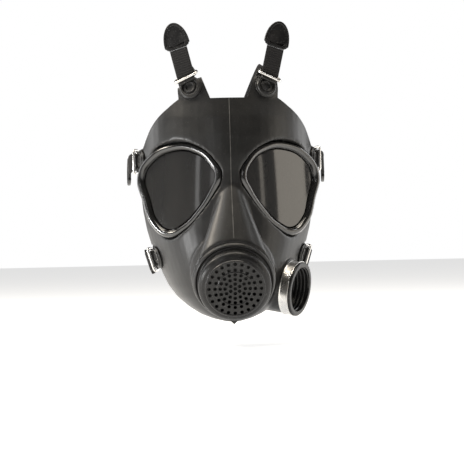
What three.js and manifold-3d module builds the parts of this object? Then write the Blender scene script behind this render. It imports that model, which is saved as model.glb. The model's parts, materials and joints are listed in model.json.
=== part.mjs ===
// A moulded rubber facepiece mask with two windows, a round pierced outlet, a side
// filter socket and a six-strap harness, held as it is worn.
// Millimetres. +X is the wearer's left, -Y is forward, +Z is up.
// The origin is the middle of the head, midway between the ears at eye level.
import * as THREE from 'three';
import { mergeVertices } from 'three/addons/utils/BufferGeometryUtils.js';
import Module from 'manifold-3d';

const wasm = await Module();
wasm.setup();

// Clearance between pieces that meet, and the sides of round faces
const GAP = 0.3;
const ROUND_SIDES = 20;
const SMALL_SIDES = 10;
const LIP_SIDES = 26;
const HOUSING_SIDES = 24;

// Facepiece
const FACE_HALF_WIDTH = 84;
const FACE_DEPTH = 102;
const FACE_RISE = 100;
const FACE_DROP = 126;
const FACE_WALL = 2.5;
const CUT_REACH = 60;
const HORN_RISE = 30;
const NOTCH_HALF_WIDTH = 17;
const NOTCH_FLARE = 8.5;
const NOTCH_FLOOR = 77;

// Windows
const EYE_WIDTH = 87.5;
const EYE_HEIGHT = 85;
const EYE_SWEEP = 31;
const EYE_LEAN = 3;
const EYE_SEAT_MARGIN = 1.6;
const EYE_SEAT_DEPTH = 40;
const RIM_WIDTH = 7;
const RIM_HEIGHT = 7.5;
const LENS_THICKNESS = 2.4;
const LENS_LEDGE = 1.8;

// Front outlet
const OUTLET_TILT = 20;
const OUTLET_LIP_RADIUS = 36.5;
const OUTLET_LIP_HEIGHT = 5;
const OUTLET_LIP_CHAMFER = 1.6;
const OUTLET_LIP_CURVE = 2;
const OUTLET_FOOT_CHAMFER = 1;
const OUTLET_FOOT_RISE = 1.2;
const OUTLET_BORE_RADIUS = 26;
const OUTLET_BODY_RADIUS = 31.2;
const OUTLET_BODY_HEIGHT = 5;
const OUTLET_TUBE_WALL = 3.6;
const OUTLET_TUBE_LENGTH = 8;
const OUTLET_TUBE_FLOOR = 2;
const CAP_RADIUS = 32.5;
const CAP_HEIGHT = 9.5;
const CAP_WALL = 2;
const CAP_DISC_RADIUS = 26.2;
const CAP_HOLE_RADIUS = 1.45;
const CAP_RIB_RADIUS = 15.5;
const CAP_RIB_HEIGHT = 0.7;
const CAP_RIB_HALF_WIDTH = 0.6;
const CAP_SHOULDER = 1.4;
const CAP_DISC_EDGE = 0.8;
const CAP_INNER_STEP = 1;
const POINTED_TAB_REACH = 5;
const POINTED_TAB_HALF_WIDTH = 8;
const POINTED_TAB_ROOT = 3;
const COLLAR_MARGIN = 1;
const COLLAR_LENGTH = 30;
const NOSE_RADIUS = 6;

// Filter socket
const THREAD_RADIUS = 20;
const THREAD_DEPTH = 0.9;
const THREAD_TURNS = 3;
const THREAD_SHARE = 0.7;
const SOCKET_WALL = 1.3;
const SOCKET_FLANGE = 3.8;
const SOCKET_FLANGE_CHAMFER = 0.8;
const SOCKET_FLANGE_CURVE = 1;
const SOCKET_FLANGE_LENGTH = 1.5;
const SOCKET_LENGTH = 26;
const STUB_WALL = 2.6;
const BAND_WIDTH = 9;
const BAND_THICKNESS = 1.2;
const LOCK_LENGTH = 13;
const LOCK_HEIGHT = 2.6;
const LOCK_CROWN = 0.4;
const LOCK_SIDES = 32;
const BAND_MARGIN = 2.5;

// Harness
const STRAP_WIDTH = 17;
const STRAP_THICKNESS = 2;
const WIRE_RADIUS = 1.25;
const BUCKLE_SIDE_CLEARANCE = 1;
const BUCKLE_REACH = 4.5;
const BUCKLE_CORNER = 2;
const BUCKLE_RISE = 5;
const BAR_AWAY = 8.5;
const BAR_HEIGHT = 5.5;
const BOSS_RADIUS = 10.5;
const BOSS_HEIGHT = 3.4;
const TAB_END = 6;
const TAB_MARGIN = 1;
const TAB_WIDTH = 27;
const HORN_WIDTH = 60;
const CUT_HEIGHT = 36;
const BOSS_LIP_START = 0.42 * BOSS_RADIUS;
const BOSS_LIP_SIDE = 1;
const TIP_WIDTH = 24;
const TIP_LENGTH = 25;
const TIP_THICKNESS = 2.6;
const HEAD_HALF_WIDTH = 79;
const HEAD_BACK = 99;
const HEAD_TOP = 116;
const PAD_HALF_WIDTH = 36;
const PAD_HALF_HEIGHT = 31;
const PAD_HEIGHT = 14;
const PAD_THICKNESS = 3;
const STRAP_LEAD = 6;
// Share of the pad's half sizes at which the straps end under it
const PAD_SEAT = 0.8;

// Level sections of the facepiece, from above the horns to the chin.
// level is a share of FACE_RISE above the eyes and of FACE_DROP below them,
// width a share of FACE_HALF_WIDTH, and the rest shares of FACE_DEPTH.
const FACE_SECTIONS = [
  { level: 1.06, width: 0.985, front: 0.71, middle: 0, rear: -0.6 },
  { level: 0.92, width: 0.99, front: 0.765, middle: 0, rear: -0.6 },
  { level: 0.77, width: 1, front: 0.81, middle: 0, rear: -0.6 },
  { level: 0.6, width: 1, front: 0.865, middle: 0, rear: -0.6 },
  { level: 0.43, width: 1, front: 0.9, middle: 0, rear: -0.6 },
  { level: 0.26, width: 1, front: 0.915, middle: 0, rear: -0.6 },
  { level: 0.1, width: 1, front: 0.915, middle: 0, rear: -0.6 },
  { level: -0.06, width: 0.99, front: 0.92, middle: 0, rear: -0.6 },
  { level: -0.2, width: 0.97, front: 0.93, middle: 0, rear: -0.6 },
  { level: -0.32, width: 0.94, front: 0.945, middle: 0, rear: -0.6 },
  { level: -0.43, width: 0.895, front: 0.965, middle: 0.02, rear: -0.55 },
  { level: -0.53, width: 0.84, front: 0.985, middle: 0.05, rear: -0.5 },
  { level: -0.64, width: 0.775, front: 1, middle: 0.1, rear: -0.4 },
  { level: -0.74, width: 0.695, front: 0.99, middle: 0.2, rear: -0.2 },
  { level: -0.82, width: 0.6, front: 0.97, middle: 0.3, rear: 0 },
  { level: -0.9, width: 0.46, front: 0.94, middle: 0.42, rear: 0.18 },
  { level: -0.95, width: 0.34, front: 0.92, middle: 0.52, rear: 0.32 },
  { level: -0.98, width: 0.22, front: 0.895, middle: 0.64, rear: 0.46 },
  { level: -1, width: 0.08, front: 0.86, middle: 0.76, rear: 0.66 },
];
const SECTION_FRONT_STEPS = 12;
const SECTION_REAR_STEPS = 3;

// Rear edge of the sheet seen from the side, as shares like those of the sections.
const REAR_EDGE = [
  { level: 1.2, forward: 0.6 },
  { level: 0.95, forward: 0.63 },
  { level: 0.77, forward: 0.68 },
  { level: 0.7, forward: 0.63 },
  { level: 0.61, forward: 0.545 },
  { level: 0.52, forward: 0.46 },
  { level: 0.43, forward: 0.39 },
  { level: 0.3, forward: 0.27 },
  { level: 0.1, forward: 0.2 },
  { level: -0.1, forward: 0.18 },
  { level: -0.35, forward: 0.22 },
  { level: -0.62, forward: 0.29 },
  { level: -0.82, forward: 0.38 },
  { level: -1.2, forward: 0.5 },
];

// Outline of a window in its own plane, from the temple round by the brow,
// as shares of EYE_WIDTH and EYE_HEIGHT measured from the middle.
const EYE_OUTLINE = [
  { across: 0.5, up: 0.15 },
  { across: 0.373, up: 0.365 },
  { across: 0.06, up: 0.495 },
  { across: -0.22, up: 0.455 },
  { across: -0.41, up: 0.32 },
  { across: -0.5, up: 0.125 },
  { across: -0.44, up: -0.03 },
  { across: -0.28, up: -0.26 },
  { across: -0.09, up: -0.435 },
  { across: 0.127, up: -0.505 },
  { across: 0.33, up: -0.365 },
  { across: 0.43, up: -0.12 },
];
const EYE_STEPS = 20;
const REAR_EDGE_STEPS = 18;
// Middle of the window's seat, as shares of the facepiece's named sizes.
const EYE_PLACE = { side: 0.53, forward: 0.632, level: -0.045 };

// Middle of the outlet's flat seat and the nose end of its fairing.
const OUTLET_PLACE = { forward: 1.06, level: -0.7 };
const NOSE_PLACE = { forward: 0.86, level: 0.0 };

// Hole rings of the cap, as shares of CAP_DISC_RADIUS.
const CAP_RINGS = [
  { radius: 0, holes: 1 },
  { radius: 0.172, holes: 6 },
  { radius: 0.342, holes: 12 },
  { radius: 0.507, holes: 16 },
  { radius: 0.68, holes: 20 },
  { radius: 0.885, holes: 24 },
];

// Mouth of the filter socket and the way it points: degrees round from forward, degrees down.
const SOCKET_PLACE = { side: 0.756, forward: 0.608, level: -0.786 };
const SOCKET_TURN = 62;
const SOCKET_DIP = 9;
const LOCK_TURN = 300;

// Six fastening points on the skin. level is a share as in the sections, and round is degrees
// from the front. A row without round lies behind the window's seat, by a share of BOSS_RADIUS.
// heading is degrees from rearwards to upwards, and fall and rise are the strap's angles to the
// skin behind the buckle and at its loose end. lean turns the whole loose end across the buckle.
// bend turns it back to the head and droop turns it down, both growing along its length.
// pad_turn says where on the head pad the strap ends, from straight across up.
const HARNESS = [
  {
    name: 'top', level: 0.87, round: 24, heading: 66, cut: HORN_WIDTH,
    fall: 48, rise: 9, lean: 7, bend: 0, droop: 0, length: 25.5, pad_turn: 66,
  },
  {
    name: 'temple', level: 0.23, behind: 0.33, heading: 0, cut: TAB_WIDTH,
    fall: 26, rise: 28, lean: 0, bend: 40, droop: 35, length: 16, pad_turn: 12,
  },
  {
    name: 'cheek', level: -0.53, behind: -0.52, heading: -8, cut: TAB_WIDTH,
    fall: 26, rise: 28, lean: 0, bend: 50, droop: 0, length: 16, pad_turn: -42,
  },
];
const FREE_STEPS = 4;
const STRAP_STEPS = 8;
const HEAD_ROUND_STEPS = 26;
const HEAD_LEVEL_STEPS = 16;
const WRAP_STEPS = 4;
// Steps of a strap in which its width turns from the head to the buckle, and how early that starts
const STRAP_TURN_LEAD = 5;
const STRAP_TURN_STEPS = 4;

const RUBBER = new THREE.MeshStandardMaterial({ color: 0x232323, roughness: 0.55, metalness: 0 });
const GLOSS_RUBBER = new THREE.MeshStandardMaterial({ color: 0x161616, roughness: 0.2, metalness: 0 });
const PLASTIC = new THREE.MeshStandardMaterial({ color: 0x1b1b1b, roughness: 0.4, metalness: 0 });
const SMOKED = new THREE.MeshStandardMaterial({ color: 0x3a3938, roughness: 0.08, metalness: 0 });
const STEEL = new THREE.MeshStandardMaterial({ color: 0xc9c6c0, roughness: 0.3, metalness: 1 });
const WEBBING = new THREE.MeshStandardMaterial({ color: 0x1c1c1c, roughness: 0.9, metalness: 0 });

const radians = THREE.MathUtils.degToRad;
const vector = (x, y, z) => new THREE.Vector3(x, y, z);

// Solids

function solidOf(geometry) {
  const bare = geometry.clone();
  bare.deleteAttribute('normal');
  bare.deleteAttribute('uv');
  const merged = mergeVertices(bare, 1e-4);
  const mesh = new wasm.Mesh({
    numProp: 3,
    vertProperties: new Float32Array(merged.attributes.position.array),
    triVerts: new Uint32Array(merged.index.array),
  });
  mesh.merge();
  return new wasm.Manifold(mesh);
}

function geometryOf(solid) {
  const mesh = solid.getMesh();
  const geometry = new THREE.BufferGeometry();
  geometry.setAttribute('position', new THREE.BufferAttribute(new Float32Array(mesh.vertProperties), 3));
  geometry.setIndex(new THREE.BufferAttribute(new Uint32Array(mesh.triVerts), 1));
  return geometry;
}

// Signed volume of a triangle mesh: below zero when its faces point in.
function signedVolume(points, faces) {
  let sum = 0;
  for (const [a, b, c] of faces) {
    sum += points[a].dot(points[b].clone().cross(points[c])) / 6;
  }
  return sum;
}

// Body through successive rings of equal size: closed on itself, or capped at both ends.
function loft(rings, closed = false) {
  const size = rings[0].length;
  const points = rings.flat();
  const faces = [];
  const spans = closed ? rings.length : rings.length - 1;
  for (let i = 0; i < spans; i += 1) {
    const low = i * size;
    const high = ((i + 1) % rings.length) * size;
    for (let j = 0; j < size; j += 1) {
      const k = (j + 1) % size;
      faces.push([low + j, low + k, high + k], [low + j, high + k, high + j]);
    }
  }
  if (!closed) {
    for (const start of [0, (rings.length - 1) * size]) {
      const ring = points.slice(start, start + size);
      const hub = ring.reduce((sum, point) => sum.add(point), vector(0, 0, 0)).divideScalar(size);
      points.push(hub);
      for (let j = 0; j < size; j += 1) {
        const face = [points.length - 1, start + j, start + ((j + 1) % size)];
        faces.push(start === 0 ? face.reverse() : face);
      }
    }
  }
  if (signedVolume(points, faces) < 0) {
    faces.forEach((face) => face.reverse());
  }
  const geometry = new THREE.BufferGeometry().setFromPoints(points);
  geometry.setIndex(faces.flat());
  return geometry;
}

// Frame of a place: across, up and outward axes at an origin.
function placeFrame(across, up, outward, origin) {
  return new THREE.Matrix4().makeBasis(across, up, outward).setPosition(origin);
}

function prism(outline, from, to, frame) {
  const shape = new THREE.Shape(outline.map((point) => new THREE.Vector2(point.x, point.y)));
  const geometry = new THREE.ExtrudeGeometry(shape, { depth: to - from, bevelEnabled: false });
  geometry.translate(0, 0, from);
  return solidOf(geometry.applyMatrix4(frame));
}

// Round bar along the frame's outward axis.
function roundBar(radius, from, to, frame, sides = ROUND_SIDES) {
  const geometry = new THREE.CylinderGeometry(radius, radius, to - from, sides);
  geometry.rotateX(Math.PI / 2);
  geometry.translate(0, 0, (from + to) / 2);
  return solidOf(geometry.applyMatrix4(frame));
}

// Turned body from a closed profile of [radius, height] pairs along the outward axis.
function turned(profile, frame, sides = ROUND_SIDES) {
  const points = profile.map(([radius, height]) => new THREE.Vector2(radius, height));
  const closed = profile[0][0] > 0 ? [...points, points[0]] : points;
  const geometry = new THREE.LatheGeometry(closed, sides);
  geometry.rotateX(Math.PI / 2);
  const merged = mergeVertices(stripped(geometry), 1e-4);
  const positions = merged.attributes.position;
  const corners = [];
  for (let i = 0; i < positions.count; i += 1) {
    corners.push(vector(0, 0, 0).fromBufferAttribute(positions, i));
  }
  const faces = [];
  for (let i = 0; i < merged.index.count; i += 3) {
    const face = [merged.index.getX(i), merged.index.getX(i + 1), merged.index.getX(i + 2)];
    if (new Set(face).size === 3) {
      faces.push(face);
    }
  }
  if (signedVolume(corners, faces) < 0) {
    faces.forEach((face) => face.reverse());
  }
  const body = new THREE.BufferGeometry().setFromPoints(corners);
  body.setIndex(faces.flat());
  return solidOf(body.applyMatrix4(frame));
}

function stripped(geometry) {
  const bare = geometry.clone();
  bare.deleteAttribute('normal');
  bare.deleteAttribute('uv');
  return bare;
}

function box(size, centre, frame) {
  const geometry = new THREE.BoxGeometry(size.x, size.y, size.z);
  geometry.translate(centre.x, centre.y, centre.z);
  return solidOf(geometry.applyMatrix4(frame));
}

// Closed sweep of a round wire along a closed loop of points.
function wireLoop(points, radius, sides = 6) {
  const rings = points.map((point, i) => {
    const before = points[(i + points.length - 1) % points.length];
    const after = points[(i + 1) % points.length];
    const along = after.clone().sub(before).normalize();
    const hub = points.reduce((sum, each) => sum.add(each), vector(0, 0, 0)).divideScalar(points.length);
    const outward = point.clone().sub(hub);
    outward.addScaledVector(along, -outward.dot(along)).normalize();
    const over = along.clone().cross(outward);
    return Array.from({ length: sides }, (_, j) => {
      const turn = (2 * Math.PI * j) / sides;
      const spot = point.clone().addScaledVector(outward, radius * Math.cos(turn));
      return spot.addScaledVector(over, radius * Math.sin(turn));
    });
  });
  return loft(rings, true);
}

// Facepiece sections

function levelHeight(level) {
  return level * (level > 0 ? FACE_RISE : FACE_DROP);
}

// Section at a height between two rows of the table, in millimetres.
function sectionAt(height, scale = 1) {
  const rows = FACE_SECTIONS;
  const heights = rows.map((row) => levelHeight(row.level));
  let i = heights.findIndex((value) => value <= height);
  i = i < 1 ? (i === 0 ? 1 : rows.length - 1) : i;
  const share = (height - heights[i - 1]) / (heights[i] - heights[i - 1]);
  const mix = (key) => rows[i - 1][key] + (rows[i][key] - rows[i - 1][key]) * share;
  return {
    width: mix('width') * FACE_HALF_WIDTH * scale,
    front: mix('front') * FACE_DEPTH,
    middle: mix('middle') * FACE_DEPTH,
  };
}

// Point of the skin at a height, so many degrees round from the front.
function skinPoint(height, round) {
  const section = sectionAt(height);
  const forward = section.middle + (section.front - section.middle) * Math.cos(radians(round));
  return vector(section.width * Math.sin(radians(round)), -forward, height);
}

// Ring of one section, with the wall taken off each size for the inside.
function sectionRing(row, wall) {
  const halfWidth = row.width * (FACE_HALF_WIDTH - wall);
  const depth = FACE_DEPTH - wall;
  const lift = wall > 0 ? HORN_RISE / 3 : 0;
  const height = row.level * (row.level > 0 ? FACE_RISE + lift : FACE_DROP - wall);
  const turns = [];
  for (let i = 0; i <= SECTION_FRONT_STEPS; i += 1) {
    turns.push(-90 + (180 * i) / SECTION_FRONT_STEPS);
  }
  for (let i = 1; i < SECTION_REAR_STEPS; i += 1) {
    turns.push(90 + (180 * i) / SECTION_REAR_STEPS);
  }
  return turns.map((turn) => {
    const reach = Math.cos(radians(turn));
    const end = reach > 0 ? row.front : row.rear;
    const forward = row.middle * depth + Math.abs(reach) * (end - row.middle) * depth;
    return vector(halfWidth * Math.sin(radians(turn)), -forward, height);
  });
}

function sectionBody(wall) {
  return solidOf(loft(FACE_SECTIONS.map((row) => sectionRing(row, wall))));
}

// Window frame: side is 1 for the wearer's left, -1 for the right.
function eyeFrame(side) {
  const sweep = radians(EYE_SWEEP);
  const lean = radians(EYE_LEAN);
  const level = Math.cos(lean);
  const outward = vector(Math.sin(sweep) * level * side, -Math.cos(sweep) * level, Math.sin(lean));
  const across = vector(Math.cos(sweep) * side, Math.sin(sweep), 0).multiplyScalar(side);
  const up = outward.clone().cross(across);
  const middle = vector(EYE_PLACE.side * FACE_HALF_WIDTH * side, -EYE_PLACE.forward * FACE_DEPTH,
    levelHeight(EYE_PLACE.level));
  return placeFrame(across, up, outward, middle);
}

// Window outline moved outwards by a distance, mirrored for the wearer's right.
function eyeOutline(grow, side) {
  const knots = EYE_OUTLINE.map((row) => vector(row.across * EYE_WIDTH, row.up * EYE_HEIGHT, 0));
  const curve = new THREE.CatmullRomCurve3(knots, true, 'centripetal');
  const points = curve.getPoints(EYE_STEPS).slice(0, -1);
  const moved = points.map((point, i) => {
    const before = points[(i + points.length - 1) % points.length];
    const after = points[(i + 1) % points.length];
    const along = after.clone().sub(before).normalize();
    return vector((point.x + along.y * grow) * side, point.y - along.x * grow, 0);
  });
  return side > 0 ? moved : moved.reverse();
}

const outletNormal = vector(0, -Math.cos(radians(OUTLET_TILT)), -Math.sin(radians(OUTLET_TILT)));
const outletFrame = placeFrame(vector(1, 0, 0), outletNormal.clone().cross(vector(1, 0, 0)), outletNormal,
  vector(0, -OUTLET_PLACE.forward * FACE_DEPTH, levelHeight(OUTLET_PLACE.level)));

const socketNormal = vector(
  Math.sin(radians(SOCKET_TURN)) * Math.cos(radians(SOCKET_DIP)),
  -Math.cos(radians(SOCKET_TURN)) * Math.cos(radians(SOCKET_DIP)),
  -Math.sin(radians(SOCKET_DIP)),
);
const socketAcross = vector(0, 0, 1).cross(socketNormal).normalize();
const socketMouth = vector(SOCKET_PLACE.side * FACE_HALF_WIDTH, -SOCKET_PLACE.forward * FACE_DEPTH,
  levelHeight(SOCKET_PLACE.level));
const socketUp = socketNormal.clone().cross(socketAcross);
const socketFrame = placeFrame(socketAcross, socketUp, socketNormal, socketMouth);
const STUB_RADIUS = THREAD_RADIUS + SOCKET_WALL + GAP + STUB_WALL;
const RELIEF_RADIUS = STUB_RADIUS + GAP + BAND_THICKNESS + LOCK_HEIGHT;
const RELIEF_DEPTH = SOCKET_FLANGE_LENGTH + BAND_WIDTH + BAND_MARGIN;

// How far forward the rear wall of a window's seat comes out of the skin: where a line that
// runs inwards from the window's rear edge meets the section's ellipse.
function seatBack() {
  const section = sectionAt(levelHeight(EYE_PLACE.level));
  const edge = vector(EYE_WIDTH / 2 + EYE_SEAT_MARGIN, 0, 0).applyMatrix4(eyeFrame(1));
  const outward = vector(0, 0, 1).transformDirection(eyeFrame(1));
  const ahead = -edge.y - section.middle;
  const deep = section.front - section.middle;
  const square = (outward.x / section.width) ** 2 + (outward.y / deep) ** 2;
  const linear = -2 * ((edge.x * outward.x) / section.width ** 2 - (ahead * outward.y) / deep ** 2);
  const rest = (edge.x / section.width) ** 2 + (ahead / deep) ** 2 - 1;
  const inwards = (-linear - Math.sqrt(linear ** 2 - 4 * square * rest)) / (2 * square);
  return -edge.y + outward.y * inwards;
}

// Degrees round from the front of a fastening.
function roundOf(row) {
  if (row.round !== undefined) {
    return row.round;
  }
  const section = sectionAt(levelHeight(row.level));
  const ahead = seatBack() - row.behind * BOSS_RADIUS - section.middle;
  return THREE.MathUtils.radToDeg(Math.acos(ahead / (section.front - section.middle)));
}

// Harness frame: x across the strap, y away from the mask along the skin, z outward.
function harnessFrame(row, side) {
  const height = levelHeight(row.level);
  const step = 1;
  const round = roundOf(row);
  const here = skinPoint(height, round);
  const rearward = skinPoint(height, round + step).sub(here).normalize();
  const upward = skinPoint(height + step, round).sub(here).normalize();
  const outward = rearward.clone().cross(upward).normalize();
  const away = rearward.clone().multiplyScalar(Math.cos(radians(row.heading)));
  away.addScaledVector(outward.clone().cross(rearward), Math.sin(radians(row.heading))).normalize();
  const mirror = vector(side, 1, 1);
  here.multiply(mirror);
  outward.multiply(mirror);
  away.multiply(mirror);
  return placeFrame(away.clone().cross(outward), away, outward, here.addScaledVector(outward, GAP));
}

const sides = [{ name: 'left', sign: 1 }, { name: 'right', sign: -1 }];
const fastenings = HARNESS.flatMap((row) => sides.map((side) => (
  { row, side: side.sign, name: `${row.name}_${side.name}`, frame: harnessFrame(row, side.sign) })));

// Facepiece

function noseFairing(wall) {
  const ringAt = (radius, centre, axisSet) => Array.from({ length: ROUND_SIDES }, (_, i) => {
    const turn = (2 * Math.PI * i) / ROUND_SIDES;
    return vector(radius * Math.cos(turn), radius * Math.sin(turn), 0).applyMatrix4(axisSet).add(centre);
  });
  const axes = new THREE.Matrix4().extractRotation(outletFrame);
  const seat = vector(0, 0, 0).setFromMatrixPosition(outletFrame);
  const collarRadius = OUTLET_LIP_RADIUS + COLLAR_MARGIN - wall;
  const front = seat.clone().addScaledVector(outletNormal, wall > 0 ? -1.6 * wall : -GAP);
  const rear = seat.clone().addScaledVector(outletNormal, -COLLAR_LENGTH);
  const nose = vector(0, -NOSE_PLACE.forward * FACE_DEPTH + wall, levelHeight(NOSE_PLACE.level));
  const ridge = solidOf(loft([ringAt(NOSE_RADIUS, nose, axes), ringAt(collarRadius, front, axes)]));
  const collar = solidOf(loft([ringAt(collarRadius, rear, axes), ringAt(collarRadius, front, axes)]));
  return ridge.add(collar);
}

function facepiece() {
  let outer = sectionBody(0).add(noseFairing(0));
  let inner = sectionBody(FACE_WALL).add(noseFairing(FACE_WALL));
  for (const side of [1, -1]) {
    const frame = eyeFrame(side);
    const wide = EYE_SEAT_MARGIN;
    outer = outer.add(prism(eyeOutline(wide, side), -EYE_SEAT_DEPTH, 0, frame));
    outer = outer.subtract(prism(eyeOutline(wide, side), 0, CUT_REACH, frame));
    inner = inner.add(prism(eyeOutline(wide - FACE_WALL, side), -EYE_SEAT_DEPTH, -FACE_WALL, frame));
    inner = inner.subtract(prism(eyeOutline(wide + FACE_WALL, side), -FACE_WALL, CUT_REACH, frame));
  }
  outer = outer.subtract(roundBar(RELIEF_RADIUS, -RELIEF_DEPTH, CUT_REACH, socketFrame));
  outer = outer.add(roundBar(STUB_RADIUS, -CUT_REACH, -SOCKET_FLANGE_LENGTH - GAP, socketFrame));
  const within = roundBar(RELIEF_RADIUS + FACE_WALL, -RELIEF_DEPTH - FACE_WALL, CUT_REACH, socketFrame);
  inner = inner.subtract(within);
  for (const { frame } of fastenings) {
    outer = outer.add(roundBar(BOSS_RADIUS + TAB_MARGIN, -FACE_WALL, 0, frame, SMALL_SIDES));
  }
  let shell = outer.subtract(inner);
  for (const side of [1, -1]) {
    const hole = eyeOutline(-RIM_WIDTH - LENS_LEDGE, side);
    shell = shell.subtract(prism(hole, -CUT_REACH, CUT_REACH, eyeFrame(side)));
  }
  const bore = OUTLET_BORE_RADIUS + GAP;
  shell = shell.subtract(roundBar(bore, -COLLAR_LENGTH, CUT_REACH, outletFrame, HOUSING_SIDES));
  shell = shell.subtract(roundBar(THREAD_RADIUS + SOCKET_WALL + GAP, -CUT_REACH / 2, CUT_REACH, socketFrame));
  return trimmed(shell);
}

// Cuts the sheet along its rear edge, at the notch and beyond each boss. The rear cut leaves
// a round tab under each boss.
function trimmed(shell) {
  const reach = 2 * FACE_HALF_WIDTH;
  const knots = REAR_EDGE.map((row) => vector(row.forward * FACE_DEPTH, levelHeight(row.level), 0));
  const edge = new THREE.CatmullRomCurve3(knots, false, 'centripetal').getPoints(REAR_EDGE_STEPS);
  const far = -2 * FACE_DEPTH;
  const behind = [...edge, vector(far, edge[edge.length - 1].y, 0), vector(far, edge[0].y, 0)];
  const sideways = placeFrame(vector(0, -1, 0), vector(0, 0, 1), vector(-1, 0, 0), vector(0, 0, 0));
  let rear = prism(behind.reverse(), -reach, reach, sideways);
  for (const { frame } of fastenings) {
    const tab = roundBar(BOSS_RADIUS + TAB_MARGIN, -CUT_HEIGHT / 2, CUT_HEIGHT / 2, frame, SMALL_SIDES);
    rear = rear.subtract(tab);
  }
  let result = shell.subtract(rear);
  const top = FACE_RISE + HORN_RISE;
  const flare = NOTCH_HALF_WIDTH + NOTCH_FLARE * ((top - NOTCH_FLOOR) / (FACE_RISE - NOTCH_FLOOR));
  const notch = [
    vector(-NOTCH_HALF_WIDTH, NOTCH_FLOOR, 0),
    vector(NOTCH_HALF_WIDTH, NOTCH_FLOOR, 0),
    vector(flare, top, 0),
    vector(-flare, top, 0),
  ];
  const facing = placeFrame(vector(1, 0, 0), vector(0, 0, 1), vector(0, -1, 0), vector(0, 0, 0));
  result = result.subtract(prism(notch, 0, reach, facing));
  for (const { row, frame } of fastenings) {
    const size = vector(row.cut, CUT_REACH, CUT_HEIGHT);
    result = result.subtract(box(size, vector(0, TAB_END + CUT_REACH / 2, 0), frame));
  }
  return result;
}

// Windows

function eyeRim(side) {
  const frame = eyeFrame(side);
  const profile = [
    { inset: 0, height: GAP },
    { inset: -0.5, height: 0.35 * RIM_HEIGHT },
    { inset: 0.9, height: 0.78 * RIM_HEIGHT },
    { inset: 0.42 * RIM_WIDTH, height: RIM_HEIGHT },
    { inset: 0.8 * RIM_WIDTH, height: 0.8 * RIM_HEIGHT },
    { inset: RIM_WIDTH, height: 0.4 * RIM_HEIGHT },
    { inset: RIM_WIDTH, height: GAP },
  ];
  const rings = profile.map(({ inset, height }) => (
    eyeOutline(-inset, side).map((point) => vector(point.x, point.y, height).applyMatrix4(frame))));
  return solidOf(loft(rings, true));
}

function lens(side) {
  const outline = eyeOutline(-RIM_WIDTH - GAP, side);
  return prism(outline, GAP, GAP + LENS_THICKNESS, eyeFrame(side));
}

// Outlet

function outletRing() {
  const top = OUTLET_LIP_HEIGHT;
  const inner = OUTLET_BORE_RADIUS + GAP;
  const ring = turned([
    [inner, 0], [OUTLET_LIP_RADIUS - OUTLET_FOOT_CHAMFER, 0], [OUTLET_LIP_RADIUS, OUTLET_FOOT_RISE],
    [OUTLET_LIP_RADIUS, top - OUTLET_LIP_CURVE], [OUTLET_LIP_RADIUS - OUTLET_LIP_CHAMFER, top], [inner, top],
  ], outletFrame, LIP_SIDES);
  const root = OUTLET_LIP_RADIUS - POINTED_TAB_ROOT;
  const pointed = [
    vector(-POINTED_TAB_HALF_WIDTH, -root, 0),
    vector(0, -OUTLET_LIP_RADIUS - POINTED_TAB_REACH, 0),
    vector(POINTED_TAB_HALF_WIDTH, -root, 0),
  ];
  return ring.add(prism(pointed, 0, 0.6 * top, outletFrame));
}

function outletBody() {
  const low = OUTLET_LIP_HEIGHT + GAP;
  const high = low + OUTLET_BODY_HEIGHT;
  const outside = OUTLET_BORE_RADIUS;
  const inside = OUTLET_BORE_RADIUS - OUTLET_TUBE_WALL;
  const floor = OUTLET_TUBE_FLOOR - OUTLET_TUBE_LENGTH;
  return turned([
    [0, -OUTLET_TUBE_LENGTH], [outside, -OUTLET_TUBE_LENGTH], [outside, low], [OUTLET_BODY_RADIUS, low],
    [OUTLET_BODY_RADIUS, high],
    [inside, high], [inside, floor], [0, floor],
  ], outletFrame, HOUSING_SIDES);
}

function outletCap() {
  const low = OUTLET_LIP_HEIGHT + OUTLET_BODY_HEIGHT + 2 * GAP;
  const high = low + CAP_HEIGHT;
  const inside = CAP_RADIUS - CAP_WALL;
  let cap = turned([
    [inside, low], [CAP_RADIUS, low], [CAP_RADIUS, low + 0.42 * CAP_HEIGHT],
    [CAP_RADIUS - CAP_SHOULDER, low + 0.7 * CAP_HEIGHT],
    [CAP_DISC_RADIUS + CAP_DISC_EDGE, low + 0.88 * CAP_HEIGHT], [CAP_DISC_RADIUS, high],
    [CAP_RIB_RADIUS + CAP_RIB_HALF_WIDTH, high], [CAP_RIB_RADIUS, high + CAP_RIB_HEIGHT],
    [CAP_RIB_RADIUS - CAP_RIB_HALF_WIDTH, high], [0, high], [0, high - CAP_WALL],
    [CAP_DISC_RADIUS - CAP_INNER_STEP, high - CAP_WALL], [inside - CAP_INNER_STEP, low + 0.5 * CAP_HEIGHT],
  ].reverse(), outletFrame);
  for (const { radius, holes } of CAP_RINGS) {
    for (let i = 0; i < holes; i += 1) {
      const turn = (2 * Math.PI * i) / holes;
      const reach = radius * CAP_DISC_RADIUS;
      const spot = outletFrame.clone().multiply(new THREE.Matrix4().makeTranslation(
        reach * Math.sin(turn), reach * Math.cos(turn), 0));
      const hole = roundBar(CAP_HOLE_RADIUS, high - 2 * CAP_WALL, high + CAP_WALL, spot, 4);
      cap = cap.subtract(hole);
    }
  }
  return cap;
}

// Filter socket

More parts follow.
